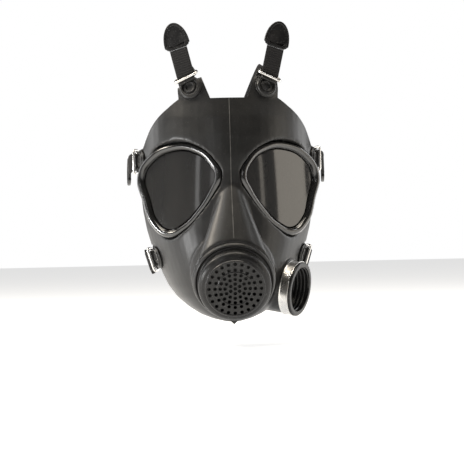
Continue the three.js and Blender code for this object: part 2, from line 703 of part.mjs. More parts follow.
function filterSocket() {
  const pitch = (THREAD_SHARE * SOCKET_LENGTH) / THREAD_TURNS;
  const flange = THREAD_RADIUS + SOCKET_WALL + SOCKET_FLANGE;
  const outside = THREAD_RADIUS + SOCKET_WALL;
  const profile = [
    [THREAD_RADIUS, 0], [flange - SOCKET_FLANGE_CHAMFER, 0], [flange, -SOCKET_FLANGE_CURVE],
    [flange, -SOCKET_FLANGE_LENGTH],
    [outside, -SOCKET_FLANGE_LENGTH], [outside, -SOCKET_LENGTH], [THREAD_RADIUS, -SOCKET_LENGTH],
  ];
  for (let i = THREAD_TURNS; i > 0; i -= 1) {
    profile.push([THREAD_RADIUS, -(i + 0.1) * pitch]);
    profile.push([THREAD_RADIUS + THREAD_DEPTH, -(i - 0.25) * pitch]);
    profile.push([THREAD_RADIUS, -(i - 0.6) * pitch]);
  }
  return turned(profile, socketFrame);
}

const BAND_INNER = STUB_RADIUS + GAP;
const BAND_FRONT = -SOCKET_FLANGE_LENGTH - 2 * GAP;

function clampBand() {
  const outer = BAND_INNER + BAND_THICKNESS;
  return turned([
    [BAND_INNER, BAND_FRONT], [BAND_INNER, BAND_FRONT - BAND_WIDTH], [outer, BAND_FRONT - BAND_WIDTH],
    [outer, BAND_FRONT],
  ], socketFrame);
}

function bandLock() {
  const outer = BAND_INNER + BAND_THICKNESS + GAP;
  const spot = socketFrame.clone().multiply(new THREE.Matrix4().makeRotationZ(radians(LOCK_TURN)));
  const block = box(vector(2 * LOCK_HEIGHT, LOCK_LENGTH, 0.8 * BAND_WIDTH),
    vector(outer, 0, BAND_FRONT - BAND_WIDTH / 2), spot);
  const crown = outer + LOCK_HEIGHT - GAP - LOCK_CROWN;
  const round = roundBar(crown, BAND_FRONT - BAND_WIDTH, BAND_FRONT, spot, LOCK_SIDES);
  const inside = roundBar(outer, -3 * BAND_WIDTH, 0, spot, LOCK_SIDES);
  return block.intersect(round).subtract(inside);
}

// Harness pieces

const barSpot = { away: BAR_AWAY, out: BAR_HEIGHT };
const rearSpot = { away: BAR_AWAY + BUCKLE_REACH, out: BAR_HEIGHT - BUCKLE_RISE };
const BUCKLE_HALF_WIDTH = STRAP_WIDTH / 2 + BUCKLE_SIDE_CLEARANCE + WIRE_RADIUS;

function boss({ frame }) {
  const body = turned([
    [0, GAP], [BOSS_RADIUS, GAP], [BOSS_RADIUS, 0.5 * BOSS_HEIGHT], [0.84 * BOSS_RADIUS, BOSS_HEIGHT],
    [0.62 * BOSS_RADIUS, BOSS_HEIGHT], [0.56 * BOSS_RADIUS, 0.5 * BOSS_HEIGHT], [0, 0.5 * BOSS_HEIGHT],
  ], frame, SMALL_SIDES);
  const low = BOSS_LIP_START;
  const lip = box(vector(STRAP_WIDTH - 2 * BOSS_LIP_SIDE, BAR_AWAY - low, BAR_HEIGHT - GAP),
    vector(0, (BAR_AWAY + low) / 2, (BAR_HEIGHT + GAP) / 2), frame);
  const beyond = box(vector(4 * BOSS_RADIUS, BOSS_RADIUS, 4 * BOSS_RADIUS),
    vector(0, BAR_AWAY + BOSS_RADIUS / 2, 0), frame);
  return body.add(lip).subtract(beyond).subtract(crossBar(WIRE_RADIUS + GAP, barSpot, frame));
}

// Round bar across the strap, at a spot away from the mask and out from the skin.
function crossBar(radius, spot, frame) {
  const half = 2 * BUCKLE_HALF_WIDTH;
  const turn = new THREE.Matrix4().makeRotationY(Math.PI / 2);
  const shift = new THREE.Matrix4().makeTranslation(0, spot.away, spot.out);
  const place = frame.clone().multiply(shift).multiply(turn);
  return roundBar(radius, -half, half, place, 8);
}

function buckle({ frame }) {
  const corner = BUCKLE_CORNER;
  const length = Math.hypot(BUCKLE_REACH, BUCKLE_RISE);
  const along = vector(0, BUCKLE_REACH, -BUCKLE_RISE).divideScalar(length);
  const points = [];
  const corners = [
    { x: 1, p: 0, turn: 270 }, { x: 1, p: 1, turn: 0 }, { x: -1, p: 1, turn: 90 }, { x: -1, p: 0, turn: 180 },
  ];
  for (const { x, p, turn } of corners) {
    const centre = { x: x * (BUCKLE_HALF_WIDTH - corner), p: p === 0 ? corner : length - corner };
    for (const step of [0, 90]) {
      const angle = radians(turn + step);
      const sideways = centre.x + corner * Math.cos(angle);
      const onward = centre.p + corner * Math.sin(angle);
      points.push(vector(sideways, barSpot.away, barSpot.out).addScaledVector(along, onward));
    }
  }
  return solidOf(wireLoop(points, WIRE_RADIUS).applyMatrix4(frame));
}

// Point of the head's rounded form in a direction, raised by an offset.
function headPoint(direction, raise) {
  const a = HEAD_HALF_WIDTH + raise;
  const b = HEAD_BACK + raise;
  const c = HEAD_TOP + raise;
  const size = Math.hypot(direction.x / a, direction.y / b, direction.z / c);
  return direction.clone().divideScalar(size);
}

function headNormal(point) {
  const slope = vector(point.x / HEAD_HALF_WIDTH ** 2, point.y / HEAD_BACK ** 2, point.z / HEAD_TOP ** 2);
  return slope.normalize();
}

// Middle line of a strap from the head pad to its loose end, with the direction of its width.
function strapLine({ row, side, frame }) {
  const fall = radians(row.fall);
  const rise = radians(row.rise);
  const wrap = WIRE_RADIUS + GAP + STRAP_THICKNESS / 2;
  const local = (away, out) => vector(0, away, out).applyMatrix4(frame);
  const across = vector(0, 0, 0).setFromMatrixColumn(frame, 0);
  const start = -90 - row.fall;
  const finish = row.rise - 270;
  const line = [];
  for (let i = 0; i <= WRAP_STEPS; i += 1) {
    const turn = radians(start + ((finish - start) * i) / WRAP_STEPS);
    line.push(local(rearSpot.away + wrap * Math.cos(turn), rearSpot.out + wrap * Math.sin(turn)));
  }
  const aside = -Math.sin(radians(row.lean)) * side;
  let free = vector(0, 0, 0);
  for (let i = 0; i < FREE_STEPS; i += 1) {
    const share = i / (FREE_STEPS - 1);
    const turn = rise - radians(row.bend) * share;
    const down = Math.sin(radians(row.droop) * share) * side;
    free = vector(aside + down, Math.cos(turn), Math.sin(turn)).transformDirection(frame);
    line.push(line[line.length - 1].clone().addScaledVector(free, row.length / FREE_STEPS));
  }
  const first = line[0];
  const back = vector(0, Math.cos(fall), -Math.sin(fall)).transformDirection(frame);
  const lead = first.clone().addScaledVector(back, STRAP_LEAD);
  const turn = radians(row.pad_turn);
  const padEnd = headPoint(vector(side * PAD_SEAT * PAD_HALF_WIDTH * Math.cos(turn), HEAD_BACK,
    PAD_HEIGHT + PAD_SEAT * PAD_HALF_HEIGHT * Math.sin(turn)), STRAP_THICKNESS / 2 + GAP);
  const run = [];
  const offset = lead.clone().sub(headPoint(lead, STRAP_THICKNESS / 2 + GAP));
  for (let i = 0; i <= STRAP_STEPS; i += 1) {
    const share = i / STRAP_STEPS;
    const direction = lead.clone().lerp(padEnd, share);
    const point = headPoint(direction, STRAP_THICKNESS / 2 + GAP).addScaledVector(offset, (1 - share) ** 2);
    run.push(point);
  }
  return { points: [...run.reverse(), ...line], across, free, end: line[line.length - 1], runs: run.length };
}

function strap(fastening) {
  const { points, across, runs } = strapLine(fastening);
  const rings = points.map((point, i) => {
    const before = points[Math.max(i - 1, 0)];
    const after = points[Math.min(i + 1, points.length - 1)];
    const along = after.clone().sub(before).normalize();
    const flat = headNormal(point).cross(along);
    if (flat.dot(across) < 0) {
      flat.negate();
    }
    const share = Math.min(1, Math.max(0, (i - runs + STRAP_TURN_LEAD) / STRAP_TURN_STEPS));
    const width = flat.lerp(across, share);
    width.addScaledVector(along, -width.dot(along)).normalize();
    const up = along.clone().cross(width);
    const corners = [[-1, -1], [1, -1], [1, 1], [-1, 1]];
    return corners.map(([w, u]) => point.clone()
      .addScaledVector(width, (w * STRAP_WIDTH) / 2)
      .addScaledVector(up, (u * STRAP_THICKNESS) / 2));
  });
  const rear = placeFrame(vector(1, 0, 0), vector(0, 0, 1), vector(0, -1, 0), vector(0, 0, PAD_HEIGHT));
  return solidOf(loft(rings)).subtract(prism(padOutline(GAP), -2 * HEAD_BACK, 0, rear));
}

function padOutline(grow) {
  return Array.from({ length: ROUND_SIDES }, (_, i) => {
    const turn = (2 * Math.PI * i) / ROUND_SIDES;
    return vector((PAD_HALF_WIDTH + grow) * Math.cos(turn), (PAD_HALF_HEIGHT + grow) * Math.sin(turn), 0);
  });
}

function headPad() {
  const shell = (raise) => {
    const ball = new THREE.SphereGeometry(1, HEAD_ROUND_STEPS, HEAD_LEVEL_STEPS);
    ball.scale(HEAD_HALF_WIDTH + raise, HEAD_BACK + raise, HEAD_TOP + raise);
    return solidOf(ball);
  };
  const rear = placeFrame(vector(1, 0, 0), vector(0, 0, 1), vector(0, -1, 0), vector(0, 0, PAD_HEIGHT));
  const wall = shell(GAP + PAD_THICKNESS).subtract(shell(GAP));
  return wall.intersect(prism(padOutline(0), -2 * HEAD_BACK, 0, rear));
}

// Outline of a spade tip, from the strap's end to its point, as shares of its width and length.
const TIP_OUTLINE = [
  { across: 0.36, along: 0 },
  { across: 0.4, along: 0.1 },
  { across: 0.5, along: 0.14 },
  { across: 0.49, along: 0.36 },
  { across: 0.4, along: 0.66 },
  { across: 0.26, along: 0.88 },
  { across: 0.1, along: 0.99 },
];

function tip(fastening) {
  const { across, free, end } = strapLine(fastening);
  const up = across.clone().cross(free).normalize();
  const frame = placeFrame(free.clone().cross(up), free, up, end.clone().addScaledVector(free, 2 * GAP));
  const right = TIP_OUTLINE.map((row) => vector(row.across * TIP_WIDTH, row.along * TIP_LENGTH, 0));
  const left = TIP_OUTLINE.map((row) => vector(-row.across * TIP_WIDTH, row.along * TIP_LENGTH, 0)).reverse();
  return prism([...right, ...left], -TIP_THICKNESS / 2, TIP_THICKNESS / 2, frame);
}

// Assembly

const mask = new THREE.Group();

function place(name, solid, material) {
  const mesh = new THREE.Mesh(geometryOf(solid), material.clone());
  mesh.name = name;
  mask.add(mesh);
}

place('facepiece', facepiece(), RUBBER);
for (const side of sides) {
  place(`eye_rim_${side.name}`, eyeRim(side.sign), GLOSS_RUBBER);
  place(`lens_${side.name}`, lens(side.sign), SMOKED);
}
place('outlet_ring', outletRing(), RUBBER);
place('outlet_body', outletBody(), PLASTIC);
place('outlet_cap', outletCap(), PLASTIC);
place('filter_socket', filterSocket(), PLASTIC);
place('clamp_band', clampBand(), STEEL);
place('band_lock', bandLock(), STEEL);
for (const fastening of fastenings) {
  place(`boss_${fastening.name}`, boss(fastening), RUBBER);
  place(`buckle_${fastening.name}`, buckle(fastening), STEEL);
  place(`strap_${fastening.name}`, strap(fastening), WEBBING);
  place(`tip_${fastening.name}`, tip(fastening), PLASTIC);
}
place('head_pad', headPad(), WEBBING);

export default mask;
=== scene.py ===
# %% [markdown]
# A rubber mask in Blender, one piece at a time
#
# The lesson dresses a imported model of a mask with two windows, a pierced outlet, a filter
# socket and a harness of ribbed straps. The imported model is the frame: it says where each
# piece sits, and every new piece is modelled in the same place, in metres.

# %% Load the frame
import json
import math

import bmesh
import bpy
from mathutils import Matrix, Vector
from mathutils.bvhtree import BVHTree


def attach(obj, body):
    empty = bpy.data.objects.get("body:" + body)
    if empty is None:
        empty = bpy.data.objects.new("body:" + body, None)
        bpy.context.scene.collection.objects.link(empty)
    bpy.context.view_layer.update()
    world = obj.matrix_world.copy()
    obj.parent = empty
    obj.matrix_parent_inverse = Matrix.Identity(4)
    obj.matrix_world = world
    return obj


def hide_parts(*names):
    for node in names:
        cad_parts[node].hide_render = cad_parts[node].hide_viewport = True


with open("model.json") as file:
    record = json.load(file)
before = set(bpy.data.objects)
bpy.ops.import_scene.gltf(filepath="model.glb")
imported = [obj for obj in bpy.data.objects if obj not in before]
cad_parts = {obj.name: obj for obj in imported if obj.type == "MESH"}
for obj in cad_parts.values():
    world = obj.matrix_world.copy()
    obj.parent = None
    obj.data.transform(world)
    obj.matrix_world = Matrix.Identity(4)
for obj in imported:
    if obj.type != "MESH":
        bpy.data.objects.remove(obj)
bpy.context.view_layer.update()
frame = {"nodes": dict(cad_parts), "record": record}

mm = 0.001
print("nodes in the frame:", len(frame["nodes"]))

# %% [markdown]
# Camera
#
# The view is level, from 1.6 m and a little to the side of the face. A long lens at that
# distance keeps the proportions. The camera's up axis leans slightly, because the head in the
# picture does too.

# %% Camera
view_distance = 1600 * mm
view_height = -45 * mm
aim_side = 4.3 * mm
camera_side = -72.8 * mm
aim_point = Vector((aim_side, 0, view_height))
camera_spot = Vector((camera_side, -view_distance, view_height))
image_lean = 0.021
picture_width = 443.1 * mm
sensor_width = 36.0

look = (aim_point - camera_spot).normalized()
image_up = Vector((image_lean, 0, 1))
image_right = look.cross(image_up).normalized()
image_up = image_right.cross(look)
camera_data = bpy.data.cameras.new("camera")
camera_data.sensor_width = sensor_width
camera_data.lens = sensor_width * view_distance / picture_width
camera = bpy.data.objects.new("camera", camera_data)
camera.matrix_world = Matrix((
    (image_right.x, image_up.x, -look.x, camera_spot.x),
    (image_right.y, image_up.y, -look.y, camera_spot.y),
    (image_right.z, image_up.z, -look.z, camera_spot.z),
    (0, 0, 0, 1),
))
bpy.context.collection.objects.link(camera)
bpy.context.scene.camera = camera
print("lens:", round(camera_data.lens, 1), "mm")

# %% [markdown]
# Small helpers
#
# A piece is a mesh object at the origin with its place in its mesh. Modifiers are made real
# as soon as they have done their work, so that the next step sees plain faces.

# %% Helpers for pieces
smooth_angle = math.radians(32)


def new_piece(name, shape, material=None):
    """Turns a bmesh into an object at the origin."""
    mesh = bpy.data.meshes.new(name)
    shape.to_mesh(mesh)
    shape.free()
    piece = bpy.data.objects.new(name, mesh)
    bpy.context.collection.objects.link(piece)
    if material:
        mesh.materials.append(material)
    return piece


def settle(piece):
    """Makes the modifiers of a piece real."""
    bpy.context.view_layer.update()
    graph = bpy.context.evaluated_depsgraph_get()
    mesh = bpy.data.meshes.new_from_object(piece.evaluated_get(graph))
    old = piece.data
    piece.modifiers.clear()
    piece.data = mesh
    bpy.data.meshes.remove(old)
    mesh.name = piece.name
    return piece


def modify(piece, kind, **settings):
    step = piece.modifiers.new(kind.lower(), kind)
    for name, value in settings.items():
        setattr(step, name, value)
    return settle(piece)


def combine(piece, tool, operation):
    """Joins or cuts a piece with a tool, which is used up."""
    modify(piece, "BOOLEAN", operation=operation, object=tool, solver="EXACT",
           material_mode="TRANSFER")
    bpy.data.objects.remove(tool)
    return piece


def smooth_faces(piece, angle=smooth_angle):
    """Shades the piece smooth, with creases where faces meet at more than the angle."""
    shape = bmesh.new()
    shape.from_mesh(piece.data)
    for face in shape.faces:
        face.smooth = True
    for edge in shape.edges:
        edge.smooth = not (edge.is_manifold and edge.calc_face_angle(0) > angle)
    shape.to_mesh(piece.data)
    shape.free()
    return piece


def finish_piece(piece, material, nodes, body="root"):
    """Gives a piece its only material and its body, and hides the nodes that it stands for."""
    piece.data.materials.clear()
    piece.data.materials.append(material)
    for polygon in piece.data.polygons:
        polygon.material_index = 0
    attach(piece, body)
    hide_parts(*nodes)
    print(piece.name, "triangles:", sum(len(face.vertices) - 2 for face in piece.data.polygons))
    return piece


# %% Helpers for shapes
def place_frame(across, up, outward, origin):
    """Matrix whose axes are across, up and outward, at an origin."""
    return Matrix((
        (across.x, up.x, outward.x, origin.x),
        (across.y, up.y, outward.y, origin.y),
        (across.z, up.z, outward.z, origin.z),
        (0, 0, 0, 1),
    ))


def bridged(rings, closed=False, caps=True):
    """Skin through successive rings of points, bridged one pair after the other."""
    shape = bmesh.new()
    loops = []
    for ring in rings:
        verts = [shape.verts.new(point) for point in ring]
        loops.append([shape.edges.new((verts[i - 1], verts[i])) for i in range(len(verts))])
    pairs = list(zip(loops, loops[1:]))
    if closed:
        pairs.append((loops[-1], loops[0]))
    for low, high in pairs:
        bmesh.ops.bridge_loops(shape, edges=low + high)
    if caps and not closed:
        bmesh.ops.holes_fill(shape, edges=loops[0] + loops[-1], sides=0)
    bmesh.ops.recalc_face_normals(shape, faces=shape.faces)
    return shape


def prism(outline, low, high, place):
    """Solid between two heights over a flat outline."""
    shape = bmesh.new()
    base = shape.faces.new([shape.verts.new((point.x, point.y, low)) for point in outline])
    raised = bmesh.ops.extrude_face_region(shape, geom=[base])["geom"]
    top = [item for item in raised if isinstance(item, bmesh.types.BMVert)]
    bmesh.ops.translate(shape, verts=top, vec=(0, 0, high - low))
    bmesh.ops.recalc_face_normals(shape, faces=shape.faces)
    bmesh.ops.transform(shape, matrix=place, verts=shape.verts)
    return shape


def round_bar(radius, low, high, place, sides=96):
    """Round bar along the outward axis of a place."""
    shape = bmesh.new()
    middle = Matrix.Translation((0, 0, (low + high) / 2))
    bmesh.ops.create_cone(shape, cap_ends=True, segments=sides, radius1=radius, radius2=radius,
                          depth=high - low, matrix=place @ middle)
    return shape


def turned(profile, place, sides=128, closed=True):
    """Spins a profile of (radius, height) pairs round the outward axis of a place."""
    shape = bmesh.new()
    verts = [shape.verts.new((radius, 0, height)) for radius, height in profile]
    edges = [shape.edges.new(pair) for pair in zip(verts, verts[1:])]
    if closed:
        edges.append(shape.edges.new((verts[-1], verts[0])))
    bmesh.ops.spin(shape, geom=verts + edges, cent=(0, 0, 0), axis=(0, 0, 1), angle=2 * math.pi,
                   steps=sides, use_merge=True, use_duplicate=False)
    bmesh.ops.remove_doubles(shape, verts=shape.verts, dist=0.00001)
    bmesh.ops.recalc_face_normals(shape, faces=shape.faces)
    bmesh.ops.transform(shape, matrix=place, verts=shape.verts)
    return shape


def join_shapes(first, *others):
    """Adds the faces of other bmeshes to the first."""
    for other in others:
        mesh = bpy.data.meshes.new("joined")
        other.to_mesh(mesh)
        other.free()
        first.from_mesh(mesh)
        bpy.data.meshes.remove(mesh)
    return first


def round_edges(shape, edges, offset, segments=3):
    bmesh.ops.bevel(shape, geom=edges, offset=offset, segments=segments, profile=0.5,
                    affect="EDGES", material=-1)


def swept(frames, section, closed=False):
    """Sweeps a closed section along a row of place matrices. section(i) gives its points."""
    across = len(section(0))
    shape = bmesh.new()
    spans = len(frames) if closed else len(frames) - 1
    bmesh.ops.create_grid(shape, x_segments=spans, y_segments=across, size=0.5)
    for vert in shape.verts:
        i = round((vert.co.x + 0.5) * spans) % len(frames)
        j = round((vert.co.y + 0.5) * across) % across
        flat = section(i)[j]
        vert.co = frames[i] @ Vector((flat[0], flat[1], 0))
    bmesh.ops.remove_doubles(shape, verts=shape.verts, dist=0.001 * mm)
    if not closed:
        ends = [edge for edge in shape.edges if edge.is_boundary]
        bmesh.ops.holes_fill(shape, edges=ends, sides=0)
    bmesh.ops.recalc_face_normals(shape, faces=shape.faces)
    return shape


def route_frames(points, flat_way, closed=False):
    """Place matrices along a route: x is across, y is out of the route, z runs along it."""
    frames = []
    count = len(points)
    for i, point in enumerate(points):
        before = points[i - 1] if closed or i else point
        after = points[(i + 1) % count] if closed or i < count - 1 else point
        along = (after - before).normalized()
        way = flat_way(i)
        way = (way - along * way.dot(along)).normalized()
        frames.append(place_frame(way, along.cross(way), along, point))
    return frames


# %% [markdown]
# Shader maths as plain arithmetic
#
# A material is a graph of sockets. The class below wraps one socket, so that adding,
# subtracting or multiplying two of them adds the Math node that does it.

# %% Sockets and finishes
class Socket:
    """One output of a material's node, with the operators that its patterns need."""

    def __init__(self, finish, output):
        self.finish = finish
        self.output = output

    def reckon(self, operation, first, second):
        return self.finish.node("ShaderNodeMath", {"operation": operation}, {0: first, 1: second})

    def __add__(self, other):
        return self.reckon("ADD", self, other)

    __radd__ = __add__

    def __mul__(self, other):
        return self.reckon("MULTIPLY", self, other)

    def __sub__(self, other):
        return self.reckon("SUBTRACT", self, other)

    def __rsub__(self, other):
        return self.reckon("SUBTRACT", other, self)


class Finish:
    """A material under construction."""

    def __init__(self, name):
        self.material = bpy.data.materials.new(name)
        self.material.use_nodes = True
        self.tree = self.material.node_tree
        self.tree.nodes.clear()

    def node(self, kind, settings=None, links=None, output=0):
        """Adds a node, sets it up and links or fills its inputs."""
        made = self.tree.nodes.new(kind)
        for name, value in (settings or {}).items():
            if name == "stops":
                self.set_stops(made.color_ramp, value)
            else:
                setattr(made, name, value)
        for name, value in (links or {}).items():
            if isinstance(value, Socket):
                self.tree.links.new(value.output, made.inputs[name])
            else:
                made.inputs[name].default_value = value
        return Socket(self, made.outputs[output]) if made.outputs else None

    def set_stops(self, ramp, stops):
        while len(ramp.elements) < len(stops):
            ramp.elements.new(0.5)
        for element, (position, value) in zip(ramp.elements, stops):
            element.position = position
            element.color = (value, value, value, 1)

    def place(self):
        return self.node("ShaderNodeTexCoord", output="Object")

    def noise(self, scale, detail=3.0, stretch=None, roughness=0.5):
        """Noise from 0 to 1. scale is in features for each metre."""
        where = self.place()
        if stretch:
            where = self.node("ShaderNodeMapping", {}, {"Vector": where, "Scale": stretch})
        return self.node("ShaderNodeTexNoise", {}, {
            "Vector": where, "Scale": scale, "Detail": detail, "Roughness": roughness})

    def ramp(self, value, stops):
        return self.node("ShaderNodeValToRGB", {"stops": stops}, {"Fac": value})

    def blend(self, mask, first, second):
        """Mixes two colours by a mask."""
        mixed = self.node("ShaderNodeMix", {"data_type": "RGBA"}, {"Factor": mask}, output="Result")
        made = mixed.output.node
        for index, value in ((6, first), (7, second)):
            if isinstance(value, Socket):
                self.tree.links.new(value.output, made.inputs[index])
            else:
                made.inputs[index].default_value = (*value, 1)
        return Socket(self, made.outputs[2])

    def bump(self, height, strength, distance, normal=None):
        links = {"Height": height, "Strength": strength, "Distance": distance}
        if normal:
            links["Normal"] = normal
        return self.node("ShaderNodeBump", {}, links)

    def surface(self, settings):
        """Ends the material in a Principled shader."""
        shader = self.node("ShaderNodeBsdfPrincipled", {}, settings)
        self.node("ShaderNodeOutputMaterial", {}, {"Surface": shader})
        return self.material


# %% [markdown]
# Rubber
#
# Moulded rubber is nearly black, but it never looks so: it scatters a soft grey sheen, it
# holds dust in large dim clouds, and its skin has a fine orange peel with a few rubbed marks.

# %% Rubber finishes
def rubber_finish():
    finish = Finish("moulded_rubber")
    clouds = finish.noise(14, 4)
    dust = finish.ramp(finish.noise(55, 6, roughness=0.65), [(0.42, 0), (0.75, 1)])
    specks = finish.ramp(finish.noise(900, 2), [(0.66, 0), (0.74, 1)])
    rubs_and_highlight_patches = finish.ramp(finish.noise(60, 3, stretch=(1, 1, 0.16)), [(0.58, 0), (0.72, 1)])
    colour = finish.blend(clouds, (0.007, 0.0069, 0.007), (0.012, 0.0118, 0.0113))
    colour = finish.blend(dust * 0.2, colour, (0.03, 0.0295, 0.028))
    colour = finish.blend(specks * 0.25, colour, (0.12, 0.118, 0.11))
    peel = finish.noise(1400, 2)
    waves = finish.noise(70, 2)
    normal = finish.bump(waves, 0.25, 0.8 * mm)
    normal = finish.bump(peel, 0.18, 0.12 * mm, normal)
    return finish.surface({
        "Base Color": colour,
        "Roughness": 0.36 + dust * 0.05 + rubs_and_highlight_patches * 0.04 - clouds * 0.03,
        "Specular IOR Level": 0.4,
        "Sheen Weight": 0.03,
        "Sheen Roughness": 0.4,
        "Normal": normal,
    })


def gloss_rubber_finish():
    finish = Finish("gloss_rubber")
    clouds = finish.noise(40, 3)
    smears = finish.ramp(finish.noise(160, 4, stretch=(1, 1, 0.4)), [(0.45, 0), (0.8, 1)])
    colour = finish.blend(clouds, (0.008, 0.008, 0.008), (0.014, 0.0137, 0.0133))
    normal = finish.bump(finish.noise(220, 2), 0.12, 0.25 * mm)
    return finish.surface({
        "Base Color": colour,
        "Roughness": 0.15 + smears * 0.14,
        "Specular IOR Level": 0.6,
        "Coat Weight": 0.8,
        "Coat Roughness": 0.12,
        "Normal": normal,
    })


def seam_painted_highlight_finish():
    """Rubber of a raised seam, painted paler in uneven patches: a painted highlight along its ridge."""
    finish = Finish("seam_painted_highlight")
    # uneven patches of the seam's painted highlight
    rubs_and_highlight_patches = finish.ramp(finish.noise(120, 4), [(0.35, 0), (0.65, 1)])
    colour = finish.blend(rubs_and_highlight_patches, (0.03, 0.03, 0.029), (0.085, 0.083, 0.078))
    return finish.surface({"Base Color": colour, "Roughness": 0.5 - rubs_and_highlight_patches * 0.1})


rubber = rubber_finish()
seam_painted_highlight = seam_painted_highlight_finish()
gloss_rubber = gloss_rubber_finish()


# %% [markdown]
# Plastic, glass, steel and webbing
#
# The outlet and the socket are satin plastic with a fine moulded grain. The windows are
# smoked and glossy. The band and the buckles are bright steel, brushed along their length.

# %% The other finishes
def plastic_finish():
    finish = Finish("moulded_plastic")
    clouds = finish.noise(30, 4)
    dust = finish.ramp(finish.noise(140, 5, roughness=0.7), [(0.5, 0), (0.8, 1)])
    # pale specks: partly worn flecks, partly a painted highlight standing in for the rims of the cap's
    # holes catching light
    specks = finish.ramp(finish.noise(1100, 2), [(0.64, 0), (0.72, 1)])
    colour = finish.blend(clouds, (0.005, 0.005, 0.0055), (0.01, 0.0098, 0.0098))
    colour = finish.blend(dust * 0.3, colour, (0.03, 0.029, 0.028))
    colour = finish.blend(specks * 0.5, colour, (0.16, 0.158, 0.155))
    normal = finish.bump(finish.noise(1800, 2), 0.15, 0.08 * mm)
    return finish.surface({
        "Base Color": colour,
        "Roughness": 0.28 + dust * 0.16 + clouds * 0.05,
        "Specular IOR Level": 0.32,
        "Normal": normal,
    })


def lens_finish():
    finish = Finish("smoked_lens")
    haze = finish.ramp(finish.noise(26, 3, stretch=(1, 1, 0.3)), [(0.35, 0), (0.8, 1)])
    smears = finish.ramp(finish.noise(240, 4), [(0.55, 0), (0.85, 1)])
    colour = finish.blend(haze, (0.022, 0.022, 0.022), (0.032, 0.031, 0.03))
    return finish.surface({
        "Base Color": colour,
        "Roughness": 0.06 + smears * 0.06,
        "Specular IOR Level": 0.6,
        "Coat Weight": 0.4,
        "Coat Roughness": 0.04,
    })


def steel_finish():
    finish = Finish("polished_steel")
    lines = finish.noise(900, 3, stretch=(1, 1, 0.08))
    tarnish = finish.ramp(finish.noise(90, 4), [(0.5, 0), (0.8, 1)])
    colour = finish.blend(tarnish * 0.5, (0.74, 0.725, 0.7), (0.42, 0.4, 0.37))
    normal = finish.bump(lines, 0.03, 0.03 * mm)
    return finish.surface({
        "Base Color": colour,
        "Metallic": 1.0,
        "Roughness": 0.26 + tarnish * 0.16,
        "Normal": normal,
    })


def webbing_finish():
    finish = Finish("webbing")
    threads = finish.noise(1300, 2)
    fade = finish.noise(35, 4)
    colour = finish.blend(fade, (0.008, 0.008, 0.0085), (0.016, 0.0155, 0.0155))
    colour = finish.blend(threads * 0.35, colour, (0.03, 0.029, 0.03))
    normal = finish.bump(threads, 0.5, 0.25 * mm)
    return finish.surface({
        "Base Color": colour,
        "Roughness": 0.78 + fade * 0.12,
        "Specular IOR Level": 0.16,
        "Sheen Weight": 0.05,
        "Sheen Roughness": 0.5,
        "Normal": normal,
    })


plastic = plastic_finish()
smoked = lens_finish()
steel = steel_finish()
webbing = webbing_finish()

slot_materials = {
    "moulded_rubber": rubber,
    "gloss_rubber": gloss_rubber,
    "moulded_plastic": plastic,
    "smoked_lens": smoked,
    "polished_steel": steel,
    "webbing": webbing,
}
for part in frame["record"]["subparts"]:
    node = frame["nodes"][part["node"]]
    node.data.materials.clear()
    node.data.materials.append(slot_materials[part["material_slot"]])


# %% [markdown]
# The facepiece's form
#
# On the real mask one moulding covers the face from the brow to under the chin. Level
# sections give its form: each is half an ellipse in front and half behind. The table holds
# them as shares of the mask's half width, depth, rise above the eyes and drop below them.

# %% Sizes of the facepiece
clearance = 0.3 * mm
face_half_width = 84 * mm
face_depth = 102 * mm
face_rise = 100 * mm
face_drop = 126 * mm
face_wall = 2.5 * mm

# level, half width, front, middle and rear of each section, from above the horns to the chin
face_sections = [
    (1.06, 0.985, 0.71, 0, -0.6),
    (0.92, 0.99, 0.765, 0, -0.6),
    (0.77, 1, 0.81, 0, -0.6),
    (0.6, 1, 0.865, 0, -0.6),
    (0.43, 1, 0.9, 0, -0.6),
    (0.26, 1, 0.915, 0, -0.6),
    (0.1, 1, 0.915, 0, -0.6),
    (-0.06, 0.99, 0.92, 0, -0.6),
    (-0.2, 0.97, 0.93, 0, -0.6),
    (-0.32, 0.94, 0.945, 0, -0.6),
    (-0.43, 0.895, 0.965, 0.02, -0.55),
    (-0.53, 0.84, 0.985, 0.05, -0.5),
    (-0.64, 0.775, 1, 0.1, -0.4),
    (-0.74, 0.695, 0.99, 0.2, -0.2),
    (-0.82, 0.6, 0.97, 0.3, 0),
    (-0.9, 0.46, 0.94, 0.42, 0.18),
    (-0.95, 0.34, 0.92, 0.52, 0.32),
    (-0.98, 0.22, 0.895, 0.64, 0.46),
    (-1, 0.08, 0.86, 0.76, 0.66),
]


def level_height(level):
    return level * (face_rise if level > 0 else face_drop)


def section_at(height):
    """Half width, front and middle of the section at a height."""
    rows = face_sections
    upper = max(i for i in range(len(rows) - 1) if level_height(rows[i][0]) >= height or i == 0)
    high, low = rows[upper], rows[upper + 1]
    share = (height - level_height(high[0])) / (level_height(low[0]) - level_height(high[0]))
    mix = [a + (b - a) * share for a, b in zip(high, low)]
    return mix[1] * face_half_width, mix[2] * face_depth, mix[3] * face_depth


def skin_point(height, turn):
    """Point of the skin at a height, so many radians round from the front."""
    half_width, front, middle = section_at(height)
    forward = middle + (front - middle) * math.cos(turn)
    return Vector((half_width * math.sin(turn), -forward, height))


def section_ring(row, front_steps=36, rear_steps=12):
    level, half_width, front, middle, rear = row
    turns = [-90 + 180 * i / front_steps for i in range(front_steps + 1)]
    turns += [90 + 180 * i / rear_steps for i in range(1, rear_steps)]
    ring = []
    for turn in turns:
        reach = math.cos(math.radians(turn))
        end = front if reach > 0 else rear
        forward = (middle + abs(reach) * (end - middle)) * face_depth
        aside = half_width * face_half_width * math.sin(math.radians(turn))
        ring.append(Vector((aside, -forward, level_height(level))))
    return ring


# %% [markdown]
# Places on the face
#
# The windows lie in two planes swept back from the nose. The outlet tilts down, and the
# filter socket points out of the wearer's left cheek. Each place is a matrix with its axes
# across, up and outward, so that its pieces can be modelled flat.

